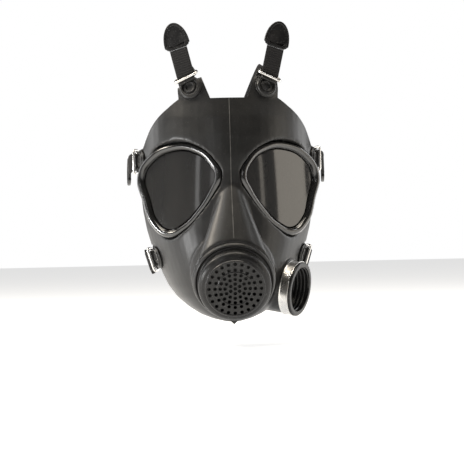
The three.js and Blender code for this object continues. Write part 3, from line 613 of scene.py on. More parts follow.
# %% Places
eye_width = 87.5 * mm
eye_height = 85 * mm
eye_sweep = math.radians(31)
eye_lean = math.radians(3)
eye_place = Vector((0.53 * face_half_width, -0.632 * face_depth, level_height(-0.045)))
eye_margin = 1.6 * mm
rim_width = 7 * mm
rim_height = 7.5 * mm
lens_ledge = 1.8 * mm

outlet_tilt = math.radians(20)
outlet_spot = Vector((0, -1.06 * face_depth, level_height(-0.7)))
nose_spot = Vector((0, -0.86 * face_depth, 0))
nose_radius = 6 * mm
lip_radius = 36.5 * mm
collar_radius = lip_radius + 1 * mm
collar_length = 30 * mm
outlet_bore = 26 * mm

socket_spot = Vector((0.756 * face_half_width, -0.608 * face_depth, level_height(-0.786)))
socket_turn = math.radians(62)
socket_dip = math.radians(9)
thread_radius = 20 * mm
socket_wall = 1.3 * mm
flange_length = 1.5 * mm
stub_radius = thread_radius + socket_wall + clearance + 2.6 * mm
band_width = 9 * mm
band_thickness = 1.2 * mm
relief_radius = stub_radius + clearance + band_thickness + 2.6 * mm
relief_depth = flange_length + band_width + 2.5 * mm

# across and up of the window's outline, as shares of its width and height
eye_knots = [
    (0.5, 0.15), (0.373, 0.365), (0.06, 0.495), (-0.22, 0.455), (-0.41, 0.32), (-0.5, 0.125),
    (-0.44, -0.03), (-0.28, -0.26), (-0.09, -0.435), (0.127, -0.505), (0.33, -0.365), (0.43, -0.12),
]


def eye_frame(side):
    """Place of a window: side is 1 for the wearer's left, -1 for the right."""
    outward = Vector((math.sin(eye_sweep) * math.cos(eye_lean) * side,
                      -math.cos(eye_sweep) * math.cos(eye_lean), math.sin(eye_lean)))
    across = Vector((math.cos(eye_sweep), math.sin(eye_sweep) * side, 0))
    return place_frame(across, outward.cross(across), outward,
                       Vector((eye_place.x * side, eye_place.y, eye_place.z)))


def rounded_loop(knots, steps):
    """Closed curve through knots, evenly stepped between each pair."""
    curve = bpy.data.curves.new("outline", "CURVE")
    spline = curve.splines.new("BEZIER")
    spline.bezier_points.add(len(knots) - 1)
    for point, knot in zip(spline.bezier_points, knots):
        point.co = knot
        point.handle_left_type = point.handle_right_type = "AUTO"
    spline.use_cyclic_u = True
    spline.resolution_u = steps
    holder = bpy.data.objects.new("outline", curve)
    mesh = holder.to_mesh()
    points = [vertex.co.copy() for vertex in mesh.vertices]
    holder.to_mesh_clear()
    bpy.data.objects.remove(holder)
    bpy.data.curves.remove(curve)
    return points


eye_loop = rounded_loop([Vector((a * eye_width, u * eye_height, 0)) for a, u in eye_knots], 8)


def eye_outline(grow, side):
    """Outline of a window moved outwards by a distance, in the window's plane."""
    moved = []
    for i, point in enumerate(eye_loop):
        along = (eye_loop[(i + 1) % len(eye_loop)] - eye_loop[i - 1]).normalized()
        moved.append(Vector(((point.x + along.y * grow) * side, point.y - along.x * grow, 0)))
    return moved


outlet_outward = Vector((0, -math.cos(outlet_tilt), -math.sin(outlet_tilt)))
x_axis = Vector((1, 0, 0))
outlet_frame = place_frame(x_axis, outlet_outward.cross(x_axis), outlet_outward, outlet_spot)
socket_outward = Vector((math.sin(socket_turn) * math.cos(socket_dip),
                         -math.cos(socket_turn) * math.cos(socket_dip), -math.sin(socket_dip)))
socket_across = Vector((0, 0, 1)).cross(socket_outward).normalized()
socket_up = socket_outward.cross(socket_across)
socket_frame = place_frame(socket_across, socket_up, socket_outward, socket_spot)
print("outline points:", len(eye_loop))

# %% [markdown]
# Fastenings
#
# Six bosses hold the buckles: two on the horns, two at the temples and two on the cheeks.
# Each place lies on the skin, with up pointing away from the mask along the strap.

# %% Fastening places
strap_width = 17 * mm
strap_thickness = 2 * mm
wire_radius = 1.25 * mm
boss_radius = 10.5 * mm
boss_height = 3.4 * mm
bar_away = 8.5 * mm
bar_height = 5.5 * mm
buckle_reach = 4.5 * mm
buckle_rise = 5 * mm
tab_end = 6 * mm
tab_margin = 1 * mm

# behind is a share of the boss's radius behind the window's seat, and takes the place of round;
# the other angles are degrees, as the strap leaves the skin, the pad and the buckle
harness = [
    {"name": "top", "level": 0.87, "round": 24, "heading": 66, "cut": 60 * mm, "fall": 48,
     "rise": 9, "lean": 7, "bend": 0, "droop": 0, "length": 25.5 * mm, "pad_turn": 66},
    {"name": "temple", "level": 0.23, "behind": 0.33, "heading": 0, "cut": 27 * mm, "fall": 26,
     "rise": 28, "lean": 0, "bend": 40, "droop": 35, "length": 16 * mm, "pad_turn": 12},
    {"name": "cheek", "level": -0.53, "behind": -0.52, "heading": -8, "cut": 27 * mm, "fall": 26,
     "rise": 28, "lean": 0, "bend": 50, "droop": 0, "length": 16 * mm, "pad_turn": -42},
]


def seat_back():
    """How far forward the rear wall of a window's seat comes out of the skin."""
    half_width, front, middle = section_at(eye_place.z)
    edge = eye_frame(1) @ Vector((eye_width / 2 + eye_margin, 0, 0))
    outward = eye_frame(1).to_3x3() @ Vector((0, 0, 1))
    ahead, deep = -edge.y - middle, front - middle
    square = (outward.x / half_width) ** 2 + (outward.y / deep) ** 2
    linear = -2 * (edge.x * outward.x / half_width ** 2 - ahead * outward.y / deep ** 2)
    rest = (edge.x / half_width) ** 2 + (ahead / deep) ** 2 - 1
    inwards = (-linear - math.sqrt(linear ** 2 - 4 * square * rest)) / (2 * square)
    return -edge.y + outward.y * inwards


def round_of(row):
    """Radians round from the front of a fastening."""
    if "round" in row:
        return math.radians(row["round"])
    half_width, front, middle = section_at(level_height(row["level"]))
    return math.acos((seat_back() - row["behind"] * boss_radius - middle) / (front - middle))


def harness_frame(row, side):
    height, turn, heading = level_height(row["level"]), round_of(row), math.radians(row["heading"])
    step = 1 * mm
    here = skin_point(height, turn)
    rearward = (skin_point(height, turn + math.radians(1)) - here).normalized()
    upward = (skin_point(height + step, turn) - here).normalized()
    outward = rearward.cross(upward).normalized()
    away = rearward * math.cos(heading) + outward.cross(rearward) * math.sin(heading)
    for axis in (here, outward, away):
        axis.x *= side
    return place_frame(away.cross(outward), away, outward, here + outward * clearance)


sides = (("left", 1), ("right", -1))
fastenings = []
for row in harness:
    for side_name, side in sides:
        fastenings.append((f"{row['name']}_{side_name}", row, side, harness_frame(row, side)))
for name, *_, place in fastenings[::2]:
    print("boss middle:", name, [round(v / mm, 1) for v in place.translation])

# %% [markdown]
# Moulding the facepiece
#
# The sections are bridged into a solid block. The nose ridge, the collar, the window seats
# and the filter stub are joined to it or cut from it, and a voxel remesh with a little
# smoothing then runs all of them into each other, as a mould does. The block's rear, its
# notch and its holes are cut last, so that their edges stay crisp. The cut faces carry a
# mark: deleting them leaves an open sheet, and Solidify gives that its wall.

# %% Facepiece
voxel = 1.5 * mm
deep = 60 * mm
cut_height = 36 * mm
seat_depth = 40 * mm
tab_radius = boss_radius + tab_margin
tab_sides = 48
cut_mark = bpy.data.materials.new("cut_mark")

# level and forward share of the sheet's rear edge, seen from the side
rear_edge = [
    (1.2, 0.6), (0.95, 0.63), (0.77, 0.68), (0.7, 0.63), (0.61, 0.545), (0.52, 0.46),
    (0.43, 0.39), (0.3, 0.27), (0.1, 0.2), (-0.1, 0.18), (-0.35, 0.22), (-0.62, 0.29),
    (-0.82, 0.38), (-1.2, 0.5),
]
notch_half_width = 17 * mm
notch_flare = 8.5 * mm
notch_floor = 77 * mm
horn_rise = 30 * mm


def circle_points(radius, centre, axes, steps=64):
    turns = [2 * math.pi * i / steps for i in range(steps)]
    return [centre + axes @ Vector((radius * math.cos(t), radius * math.sin(t), 0)) for t in turns]


def fairing():
    """Nose ridge and collar: the hull of a small circle on the nose and the collar's front."""
    axes = outlet_frame.to_3x3()
    front = outlet_frame @ Vector((0, 0, -clearance))
    shape = bmesh.new()
    nose = circle_points(nose_radius, nose_spot, axes, 24)
    for point in nose + circle_points(collar_radius, front, axes):
        shape.verts.new(point)
    bmesh.ops.convex_hull(shape, input=shape.verts)
    return shape


def moulded_block():
    block = new_piece("facepiece_skin", bridged([section_ring(row) for row in face_sections]))
    combine(block, new_piece("ridge", fairing()), "UNION")
    collar = round_bar(collar_radius, -collar_length, -clearance, outlet_frame)
    combine(block, new_piece("collar", collar), "UNION")
    for side in (1, -1):
        place = eye_frame(side)
        seat = prism(eye_outline(eye_margin, side), -seat_depth, 0, place)
        combine(block, new_piece("seat", seat), "UNION")
        pocket = prism(eye_outline(eye_margin, side), 0, deep, place)
        combine(block, new_piece("pocket", pocket), "DIFFERENCE")
    relief = round_bar(relief_radius, -relief_depth, deep, socket_frame)
    combine(block, new_piece("relief", relief), "DIFFERENCE")
    stub = round_bar(stub_radius, -deep / 2, -flange_length - clearance, socket_frame)
    combine(block, new_piece("stub", stub), "UNION")
    for *_, place in fastenings:
        pad = round_bar(tab_radius, -face_wall, 0, place, tab_sides)
        combine(block, new_piece("pad", pad), "UNION")
    modify(block, "REMESH", mode="VOXEL", voxel_size=voxel)
    modify(block, "SMOOTH", factor=0.5, iterations=5)
    return block


def cutter(name, shape):
    return new_piece(name, shape, cut_mark)


def rear_cutter():
    knots = [Vector((forward * face_depth, level_height(level), 0)) for level, forward in rear_edge]
    far = -2 * face_depth
    outline = knots + [Vector((far, knots[-1].y, 0)), Vector((far, knots[0].y, 0))]
    sideways = place_frame(Vector((0, -1, 0)), Vector((0, 0, 1)), Vector((-1, 0, 0)),
                           Vector((0, 0, 0)))
    reach = 2 * face_half_width
    behind = cutter("rear", prism(outline, -reach, reach, sideways))
    for *_, place in fastenings:
        tab = round_bar(tab_radius, -cut_height / 2, cut_height / 2, place, tab_sides)
        combine(behind, cutter("tab", tab), "DIFFERENCE")
    return behind


def notch_cutter():
    top = face_rise + horn_rise
    flare = notch_half_width + notch_flare * (top - notch_floor) / (face_rise - notch_floor)
    outline = [Vector((x, y, 0)) for x, y in (
        (-notch_half_width, notch_floor), (notch_half_width, notch_floor), (flare, top), (-flare, top))]
    facing = place_frame(x_axis, Vector((0, 0, 1)), Vector((0, -1, 0)), Vector((0, 0, 0)))
    return prism(outline, 0, 2 * face_half_width, facing)


def tab_cutter(row, place):
    shape = bmesh.new()
    size = Matrix.Diagonal((row["cut"], deep, cut_height, 1))
    middle = Matrix.Translation((0, tab_end + deep / 2, 0))
    bmesh.ops.create_cube(shape, size=1, matrix=place @ middle @ size)
    return shape


def make_facepiece():
    block = moulded_block()
    holes = []
    for side in (1, -1):
        opening = eye_outline(-rim_width - lens_ledge, side)
        holes.append(prism(opening, -deep, deep, eye_frame(side)))
    holes.append(round_bar(outlet_bore + clearance, -collar_length, deep, outlet_frame))
    holes.append(round_bar(thread_radius + socket_wall + clearance, -deep / 2, deep, socket_frame))
    combine(block, rear_cutter(), "DIFFERENCE")
    combine(block, cutter("notch", notch_cutter()), "DIFFERENCE")
    for shape in holes + [tab_cutter(row, place) for _, row, _, place in fastenings]:
        combine(block, cutter("hole", shape), "DIFFERENCE")
    mark = block.data.materials.find("cut_mark")
    shape = bmesh.new()
    shape.from_mesh(block.data)
    cut_faces = [face for face in shape.faces if face.material_index == mark]
    bmesh.ops.delete(shape, geom=cut_faces, context="FACES")
    shape.to_mesh(block.data)
    shape.free()
    modify(block, "SOLIDIFY", thickness=face_wall, offset=-1)
    smooth_faces(block, math.radians(50))
    return finish_piece(block, rubber, ["facepiece"])


facepiece_skin = make_facepiece()

# %% [markdown]
# Mould line
#
# The two halves of a mould meet in the middle of the face and leave a hair of rubber there.
# It follows the skin, so it is drawn by shooting rays at the facepiece and joining the hits.

# %% Mould line
line_width = 0.8 * mm
line_height = 0.25 * mm
line_start = notch_floor - 0.5 * mm
line_end = -50 * mm
line_steps = 90
line_taper = 6


def make_mould_line(facepiece):
    tree = BVHTree.FromObject(facepiece, bpy.context.evaluated_depsgraph_get())
    points = []
    for i in range(line_steps + 1):
        height = line_start + (line_end - notch_floor) * i / line_steps
        hit = tree.ray_cast(Vector((0, -2 * face_depth, height)), Vector((0, 1, 0)))[0]
        if hit:
            points.append(hit)
    count = len(points)
    frames = route_frames(points, lambda i: x_axis)
    half = [(-1, -1), (1, -1), (0.5, 1), (-0.5, 1)]
    taper = [min(1, (i + 1) / line_taper, (count - i) / line_taper) for i in range(count)]

    def section(i):
        return [(x * line_width / 2, -y * line_height * taper[i]) for x, y in half]

    shape = swept(frames, section)
    line = new_piece("mould_line", shape)
    smooth_faces(line)
    # the seam's paler rubber is a painted highlight along its ridge
    return finish_piece(line, seam_painted_highlight, [])


make_mould_line(facepiece_skin)

# %% [markdown]
# Windows
#
# Each window is a glossy rubber bead round a smoked panel. The bead's section is drawn by the
# outline moved in step by step, at its own heights, and the loops are bridged into a ring. A
# subdivision surface rounds it. The panel is a stack of shrinking loops, bent back at its sides.

# %% Windows
# inset and height of the bead's section, as shares of its width and height
bead_profile = [
    (-0.1, 0.04), (-0.19, 0.14), (-0.2, 0.34), (-0.13, 0.6), (0, 0.82), (0.17, 0.95), (0.38, 1),
    (0.58, 0.96), (0.75, 0.81), (0.87, 0.58), (0.95, 0.34), (1, 0.1), (0.98, 0.05), (0.5, 0.04),
]
lens_top = 4.4 * mm
lens_bend = 10 * mm
lens_upright_share = 0.2
lens_steps = 12


def raised(outline, height, place):
    return [place @ Vector((point.x, point.y, height)) for point in outline]


def make_bead(name, side):
    place = eye_frame(side)
    rings = [raised(eye_outline(-inset * rim_width, side), height * rim_height, place)
             for inset, height in bead_profile]
    bead = new_piece(f"window_bead_{name}", bridged(rings, closed=True))
    modify(bead, "SUBSURF", levels=1, render_levels=1)
    smooth_faces(bead, math.radians(60))
    return finish_piece(bead, gloss_rubber, [f"eye_rim_{name}"])


def make_lens(name, side):
    place = eye_frame(side)
    outline = eye_outline(-rim_width - clearance, side)
    rings = [raised(outline, clearance, place)]
    for step in range(lens_steps):
        bent = []
        for point in outline:
            spot = point * (1 - step / lens_steps)
            fall = (spot.x / eye_width) ** 2 + lens_upright_share * (spot.y / eye_height) ** 2
            bent.append(Vector((spot.x, spot.y, lens_top - lens_bend * fall)))
        rings.append([place @ point for point in bent])
    panel = new_piece(f"window_{name}", bridged(rings))
    smooth_faces(panel, math.radians(40))
    return finish_piece(panel, smoked, [f"lens_{name}"])


for name, side in sides:
    make_bead(name, side)
    make_lens(name, side)

# %% [markdown]
# Outlet
#
# Three turned pieces sit on each other: a rubber lip, a plain stepped body and a pierced cap.
# Spinning half a section makes such pieces in one move. The cap's holes are one joined set of
# bars, cut in a single boolean. The marks moulded on the real cap's skirt are left off.

# %% Outlet
lip_height = 5 * mm
body_radius = 31.2 * mm
body_height = 5 * mm
tube_wall = 3.6 * mm
tube_length = 8 * mm
tube_floor = 2 * mm
cap_radius = 32.5 * mm
cap_height = 9.5 * mm
cap_wall = 2 * mm
cap_disc = 26.2 * mm
cap_rib = 15.5 * mm
hole_radius = 1.6 * mm
hole_sides = 14
pointed_tab_reach = 5 * mm
pointed_tab_half_width = 8 * mm

# share of the disc's radius and number of holes of each ring
cap_rings = [(0, 1), (0.172, 6), (0.342, 12), (0.507, 16), (0.68, 20), (0.885, 24)]


def rounded(profile, radius, steps=4):
    """Rounds the corners of a closed profile with short curves."""
    result = []
    for i, corner in enumerate(profile):
        here = Vector(corner)
        before = Vector(profile[i - 1]) - here
        after = Vector(profile[(i + 1) % len(profile)]) - here
        reach = min(radius, before.length / 2.2, after.length / 2.2)
        if here.x < 0.01 * mm or reach < 0.02 * mm:
            result.append(corner)
            continue
        start, end = here + before.normalized() * reach, here + after.normalized() * reach
        for step in range(steps + 1):
            t = step / steps
            result.append(tuple(start * (1 - t) ** 2 + here * 2 * t * (1 - t) + end * t ** 2))
    return result


def make_lip():
    inner = outlet_bore + clearance
    profile = [(inner, 0), (lip_radius - 1 * mm, 0), (lip_radius, 1.2 * mm),
               (lip_radius, lip_height - 2 * mm),
               (lip_radius - 1.2 * mm, lip_height - 0.3 * mm), (lip_radius - 2.2 * mm, lip_height),
               (lip_radius - 2.8 * mm, lip_height - 1 * mm), (body_radius + 1 * mm, lip_height - 1 * mm),
               (body_radius + 0.5 * mm, lip_height - 0.1 * mm), (inner, lip_height - 0.1 * mm)]
    lip = new_piece("outlet_lip", turned(rounded(profile, 0.5 * mm), outlet_frame))
    root = lip_radius - 3 * mm
    outline = [Vector((-pointed_tab_half_width, -root, 0)),
               Vector((0, -lip_radius - pointed_tab_reach, 0)),
               Vector((pointed_tab_half_width, -root, 0))]
    shape = prism(outline, 0, 0.6 * lip_height, outlet_frame)
    round_edges(shape, shape.edges, 0.5 * mm)
    combine(lip, new_piece("tab", shape), "UNION")
    smooth_faces(lip)
    return finish_piece(lip, rubber, ["outlet_ring"])


def make_body():
    low = lip_height + clearance
    high = low + body_height
    inside = outlet_bore - tube_wall
    floor = tube_floor - tube_length
    profile = [(0, -tube_length), (outlet_bore, -tube_length), (outlet_bore, low), (body_radius, low),
               (body_radius, high - 1.6 * mm), (body_radius - 0.7 * mm, high - 1.2 * mm),
               (body_radius - 0.7 * mm, high), (inside, high), (inside, floor), (0, floor)]
    shape = turned(rounded(profile, 0.4 * mm), outlet_frame, closed=False)
    body = new_piece("outlet_housing", shape)
    smooth_faces(body)
    return finish_piece(body, plastic, ["outlet_body"])


def make_cap():
    low = lip_height + body_height + 2 * clearance
    high = low + cap_height
    inside = cap_radius - cap_wall
    profile = [
        (0, high), (cap_rib - 0.7 * mm, high), (cap_rib, high + 0.7 * mm), (cap_rib + 0.7 * mm, high),
        (cap_disc - 1.6 * mm, high), (cap_disc - 1 * mm, high + 0.5 * mm),
        (cap_disc, high + 0.4 * mm), (cap_disc + 0.6 * mm, low + 0.9 * cap_height),
        (cap_disc + 3 * mm, low + 0.8 * cap_height),
        (cap_radius - 1.6 * mm, low + 0.66 * cap_height),
        (cap_radius - 0.5 * mm, low + 0.52 * cap_height),
        (cap_radius, low + 0.4 * cap_height), (cap_radius, low), (inside, low),
        (inside - 1 * mm, low + 0.5 * cap_height),
        (cap_disc - 1 * mm, high - cap_wall), (0, high - cap_wall),
    ]
    shape = turned(rounded(profile, 0.45 * mm), outlet_frame, closed=False)
    cap = new_piece("outlet_cap_pierced", shape)
    bars = []
    for share, holes in cap_rings:
        for i in range(holes):
            turn = 2 * math.pi * i / holes
            reach = share * cap_disc
            spot = Matrix.Translation((reach * math.sin(turn), reach * math.cos(turn), 0))
            bars.append(round_bar(hole_radius, high - 2 * cap_wall, high + cap_wall,
                                  outlet_frame @ spot, hole_sides))
    combine(cap, new_piece("holes", join_shapes(*bars)), "DIFFERENCE")
    smooth_faces(cap)
    return finish_piece(cap, plastic, ["outlet_cap"])


make_lip()
make_body()
make_cap()

# %% [markdown]
# Filter socket
#
# A black ring with an inside thread sits in the rubber stub, and a steel band holds it. The
# thread is one screw: spinning its section while it also moves along the axis winds it up.

# %% Filter socket
socket_flange = 3.8 * mm
socket_length = 26 * mm
bore_radius = thread_radius + 0.6 * mm
thread_pitch = 3.6 * mm
thread_turns = 5
thread_steps = 72
thread_start = -1.5 * mm
# outward from the thread's radius, and along the axis
thread_section = [(0.75 * mm, 0.9 * mm), (0.75 * mm, -0.9 * mm), (-0.1 * mm, -0.2 * mm),
                  (-0.1 * mm, 0.2 * mm)]
band_inner = stub_radius + clearance
band_front = -flange_length - 2 * clearance
lock_turn = math.radians(300)
lock_length = 13 * mm
lock_height = 2.6 * mm
lock_steps = 12


def make_socket():
    outside = thread_radius + socket_wall
    flange = outside + socket_flange
    profile = [(bore_radius, 0), (flange - 0.8 * mm, 0), (flange, -1 * mm),
               (flange, -flange_length), (outside, -flange_length), (outside, -socket_length),
               (bore_radius, -socket_length)]
    shape = turned(rounded(profile, 0.5 * mm), socket_frame)
    ridge = bmesh.new()
    rise = thread_pitch / thread_steps
    verts = [ridge.verts.new((thread_radius + r, 0, thread_start + h)) for r, h in thread_section]
    face = ridge.faces.new(verts)
    bmesh.ops.spin(ridge, geom=[face] + list(face.edges) + verts, cent=(0, 0, 0), axis=(0, 0, 1),
                   dvec=(0, 0, -rise), angle=2 * math.pi * thread_turns,
                   steps=thread_steps * thread_turns)
    bmesh.ops.remove_doubles(ridge, verts=ridge.verts, dist=0.001 * mm)
    bmesh.ops.recalc_face_normals(ridge, faces=ridge.faces)
    bmesh.ops.transform(ridge, matrix=socket_frame, verts=ridge.verts)
    socket = new_piece("threaded_socket", join_shapes(shape, ridge))
    smooth_faces(socket)
    return finish_piece(socket, plastic, ["filter_socket"])


def make_band():
    outer = band_inner + band_thickness
    rear = band_front - band_width
    profile = [(band_inner, band_front), (band_inner, rear), (outer, rear), (outer, rear + 0.9 * mm),
               (outer - 0.45 * mm, rear + 1.3 * mm), (outer - 0.45 * mm, band_front - 1.3 * mm),
               (outer, band_front - 0.9 * mm), (outer, band_front)]
    band = new_piece("steel_band", turned(rounded(profile, 0.3 * mm, 3), socket_frame))
    smooth_faces(band)
    return finish_piece(band, steel, ["clamp_band"])


def make_lock():
    """Folded steel ear that closes the band, with two rivets."""
    inner = band_inner + band_thickness + clearance
    outer = inner + lock_height - 0.7 * mm
    half = lock_length / 2 / inner
    wide = 0.4 * band_width
    middle = band_front - band_width / 2
    place = socket_frame @ Matrix.Rotation(lock_turn, 4, "Z")
    rings = []
    for step in range(lock_steps + 1):
        share = 2 * step / lock_steps - 1
        turn = half * share
        swell = outer - 0.5 * mm * abs(share) ** 4
        corners = [(inner, -wide), (swell, -wide), (swell, wide), (inner, wide)]
        rings.append([place @ Vector((r * math.cos(turn), r * math.sin(turn), middle + h))
                      for r, h in corners])
    shape = bridged(rings)
    sharp = [edge for edge in shape.edges if edge.calc_face_angle(0) > 1]
    round_edges(shape, sharp, 0.4 * mm, 2)
    dome = [(0, 0.7 * mm), (0.8 * mm, 0.6 * mm), (1.3 * mm, 0.3 * mm), (1.5 * mm, -0.3 * mm),
            (0, -0.3 * mm)]
    for spot in (-0.5, 0.5):
        turn = half * spot
        rivet = place @ Matrix.Rotation(turn, 4, "Z") @ Matrix.Translation((outer, 0, middle))
        rivet = rivet @ Matrix.Rotation(math.pi / 2, 4, "Y")
        shape = join_shapes(shape, turned(dome, rivet, 20, closed=False))
    lock = new_piece("steel_lock", shape)
    smooth_faces(lock)
    return finish_piece(lock, steel, ["band_lock"])


make_socket()
make_band()
make_lock()

# %% [markdown]
# Bosses
#
# Each boss is a moulded button with two raised rings, cut flat towards the strap, where a
# lip holds the buckle's front bar. A spin, a bevelled block and one cut make it.

# %% Bosses
def cross_bar(radius, away, out, place):
    """Bar across the strap, well wider than it."""
    turn = Matrix.Translation((0, away, out)) @ Matrix.Rotation(math.pi / 2, 4, "Y")
    return round_bar(radius, -strap_width, strap_width, place @ turn, 24)


def block(size, middle, place, round_off):
    shape = bmesh.new()
    scale = Matrix.Diagonal((*size, 1))
    bmesh.ops.create_cube(shape, size=1, matrix=Matrix.Translation(middle) @ scale)
    if round_off:
        round_edges(shape, shape.edges, round_off)
    bmesh.ops.transform(shape, matrix=place, verts=shape.verts)
    return shape


def make_boss(name, place):
    h = boss_height
    profile = [(0, clearance), (boss_radius, clearance), (boss_radius, 0.5 * h),
               (0.9 * boss_radius, 0.58 * h),
               (0.84 * boss_radius, h), (0.7 * boss_radius, h), (0.66 * boss_radius, 0.55 * h),
               (0.54 * boss_radius, 0.55 * h), (0.5 * boss_radius, 0.9 * h), (0.38 * boss_radius, 0.9 * h),
               (0.33 * boss_radius, 0.5 * h), (0, 0.5 * h)]
    shape = turned(rounded(profile, 0.4 * mm, 3), place, 64, closed=False)
    boss = new_piece(f"button_{name}", shape)
    beyond = block((4 * boss_radius, boss_radius, 4 * boss_radius),
                   (0, bar_away + boss_radius / 2, 0), place, 0)
    combine(boss, new_piece("beyond", beyond), "DIFFERENCE")
    low, bottom, end = 0.42 * boss_radius, 2 * clearance, bar_away + 0.1 * mm
    lip = block((strap_width - 2 * mm, end - low, bar_height - bottom),
                (0, (end + low) / 2, (bar_height + bottom) / 2), place, 0.8 * mm)
    combine(boss, new_piece("lip", lip), "UNION")
    groove = cross_bar(wire_radius + clearance, bar_away, bar_height, place)
    combine(boss, new_piece("groove", groove), "DIFFERENCE")
    smooth_faces(boss)
    return finish_piece(boss, rubber, [f"boss_{name}"])


for name, *_, place in fastenings:
    make_boss(name, place)

# %% [markdown]
# Buckles
#
# A buckle is a loop of bright wire. Its route is a flat rectangle with round corners, leaning
# back from the boss, and a ring of points is swept along it.

# %% Buckles
buckle_corner = 2 * mm
corner_steps = 6
wire_sides = 14
buckle_half_width = strap_width / 2 + 1 * mm + wire_radius
rear_away = bar_away + buckle_reach
rear_out = bar_height - buckle_rise


def make_buckle(name, place):
    length = math.hypot(buckle_reach, buckle_rise)
    along = Vector((0, buckle_reach, -buckle_rise)) / length
    start = Vector((0, bar_away, bar_height))
    route = []
    for x, p, turn in ((1, 0, 270), (1, 1, 0), (-1, 1, 90), (-1, 0, 180)):
        centre_p = length - buckle_corner if p else buckle_corner
        for step in range(corner_steps + 1):
            angle = math.radians(turn + 90 * step / corner_steps)
            sideways = x * (buckle_half_width - buckle_corner) + buckle_corner * math.cos(angle)
            onward = centre_p + buckle_corner * math.sin(angle)
            route.append(place @ (Vector((sideways, 0, 0)) + start + along * onward))
    flat = place.to_3x3() @ along.cross(Vector((1, 0, 0)))
    frames = route_frames(route, lambda i: flat, closed=True)
    turns = [2 * math.pi * j / wire_sides for j in range(wire_sides)]
    circle = [(wire_radius * math.cos(turn), wire_radius * math.sin(turn)) for turn in turns]
    buckle = new_piece(f"wire_buckle_{name}", swept(frames, lambda i: circle, closed=True))
    smooth_faces(buckle, math.radians(80))
    return finish_piece(buckle, steel, [f"buckle_{name}"])


for name, *_, place in fastenings:
    make_buckle(name, place)

# %% [markdown]
# Straps
#
# A strap runs from the head pad over the head, round the buckle's rear bar and on to its free
# end. The webbing has ribs across it every two millimetres. The route is the same as in the
# frame, stepped finely, and the swept section swells and shrinks to make the ribs.

# %% Straps
head_half_width = 79 * mm
head_back = 99 * mm
head_top = 116 * mm
pad_half_width = 36 * mm
pad_half_height = 31 * mm
pad_height = 14 * mm
pad_thickness = 3 * mm
pad_seat = 0.8
strap_lead = 6 * mm
rib_pitch = 2.2 * mm
rib_depth = 0.45 * mm
fine_step = 0.55 * mm
wrap_steps = 12
run_steps = 60
free_steps = 24
# points of the run before the buckle between which a strap turns flat to it
twist_start = 30
twist_end = 6


def head_point(direction, lift):
    size = math.sqrt((direction.x / (head_half_width + lift)) ** 2
                     + (direction.y / (head_back + lift)) ** 2
                     + (direction.z / (head_top + lift)) ** 2)
    return direction / size


def head_normal(point):
    slope = Vector((point.x / head_half_width ** 2, point.y / head_back ** 2, point.z / head_top ** 2))
    return slope.normalized()


def free_directions(row, side, place):
    """Directions of the free end, step by step after the wrap."""
    axes = place.to_3x3()
    rise, bend, droop, lean = (math.radians(row[key]) for key in ("rise", "bend", "droop", "lean"))
    directions = []
    for i in range(free_steps):
        share = i / (free_steps - 1)
        turn = rise - bend * share
        aside = (math.sin(droop * share) - math.sin(lean)) * side
        directions.append((axes @ Vector((aside, math.cos(turn), math.sin(turn)))).normalized())
    return directions


def strap_route(row, side, place):
    """Middle line of a strap: its run over the head, its wrap, its free end and last direction."""
    wrap = wire_radius + clearance + strap_thickness / 2
    start, finish = -90 - row["fall"], row["rise"] - 270
    wraps = []
    for i in range(wrap_steps + 1):
        turn = math.radians(start + (finish - start) * i / wrap_steps)
        away, out = rear_away + wrap * math.cos(turn), rear_out + wrap * math.sin(turn)
        wraps.append(place @ Vector((0, away, out)))
    free = []
    end = wraps[-1]
    directions = free_directions(row, side, place)
    for direction in directions:
        end = end + direction * row["length"] / len(directions)
        free.append(end)
    fall = math.radians(row["fall"])
    leaving = Vector((0, math.cos(fall), -math.sin(fall)))
    lead = wraps[0] + place.to_3x3() @ leaving * strap_lead
    turn = math.radians(row["pad_turn"])
    lift = strap_thickness / 2 + clearance
    pad_end = head_point(Vector((side * pad_seat * pad_half_width * math.cos(turn), head_back,
                                 pad_height + pad_seat * pad_half_height * math.sin(turn))), lift)
    offset = lead - head_point(lead, lift)
    run = []
    for i in range(run_steps + 1):
        share = i / run_steps
        run.append(head_point(lead.lerp(pad_end, share), lift) + offset * (1 - share) ** 2)
    run.reverse()
    return run, wraps, free, directions[-1]


def even_steps(points, step):
    """The same route with points at equal distances, and the share of the route at each."""
    lengths = [0]
    for a, b in zip(points, points[1:]):
        lengths.append(lengths[-1] + (b - a).length)
    count = max(2, round(lengths[-1] / step))
    even, places, k = [], [], 0
    for i in range(count + 1):
        goal = lengths[-1] * i / count
        while k < len(points) - 2 and lengths[k + 1] < goal:
            k += 1
        share = (goal - lengths[k]) / (lengths[k + 1] - lengths[k])
        even.append(points[k].lerp(points[k + 1], share))
        places.append(k + share)
    return even, places


def web_section(thick):
    """Half-round edges and a flat middle, as woven webbing has."""
    edge = strap_width / 2
    half = thick / 2
    side = [(edge - 0.35 * half, -0.7 * half), (edge, 0), (edge - 0.35 * half, 0.7 * half)]
    top = [(x * edge, half) for x in (0.92, 0.6, 0.3, 0, -0.3, -0.6, -0.92)]
    return side + top + [(-x, -y) for x, y in side] + [(-x, -y) for x, y in top]


def strap_frames(row, side, place, step):
    run, wraps, free, _ = strap_route(row, side, place)
    points, places = even_steps(run + wraps[1:] + free, step)
    across = place.to_3x3() @ Vector((1, 0, 0))
    turn_start, turn_end = len(run) - twist_start, len(run) - twist_end

    def flat_way(i):
        point = points[i]
        along = points[min(i + 1, len(points) - 1)] - points[max(i - 1, 0)]
        flat = head_normal(point).cross(along).normalized()
        if flat.dot(across) < 0:
            flat.negate()
        share = min(1, max(0, (places[i] - turn_start) / (turn_end - turn_start)))
        return flat.lerp(across, share * share * (3 - 2 * share))

    return route_frames(points, flat_way)


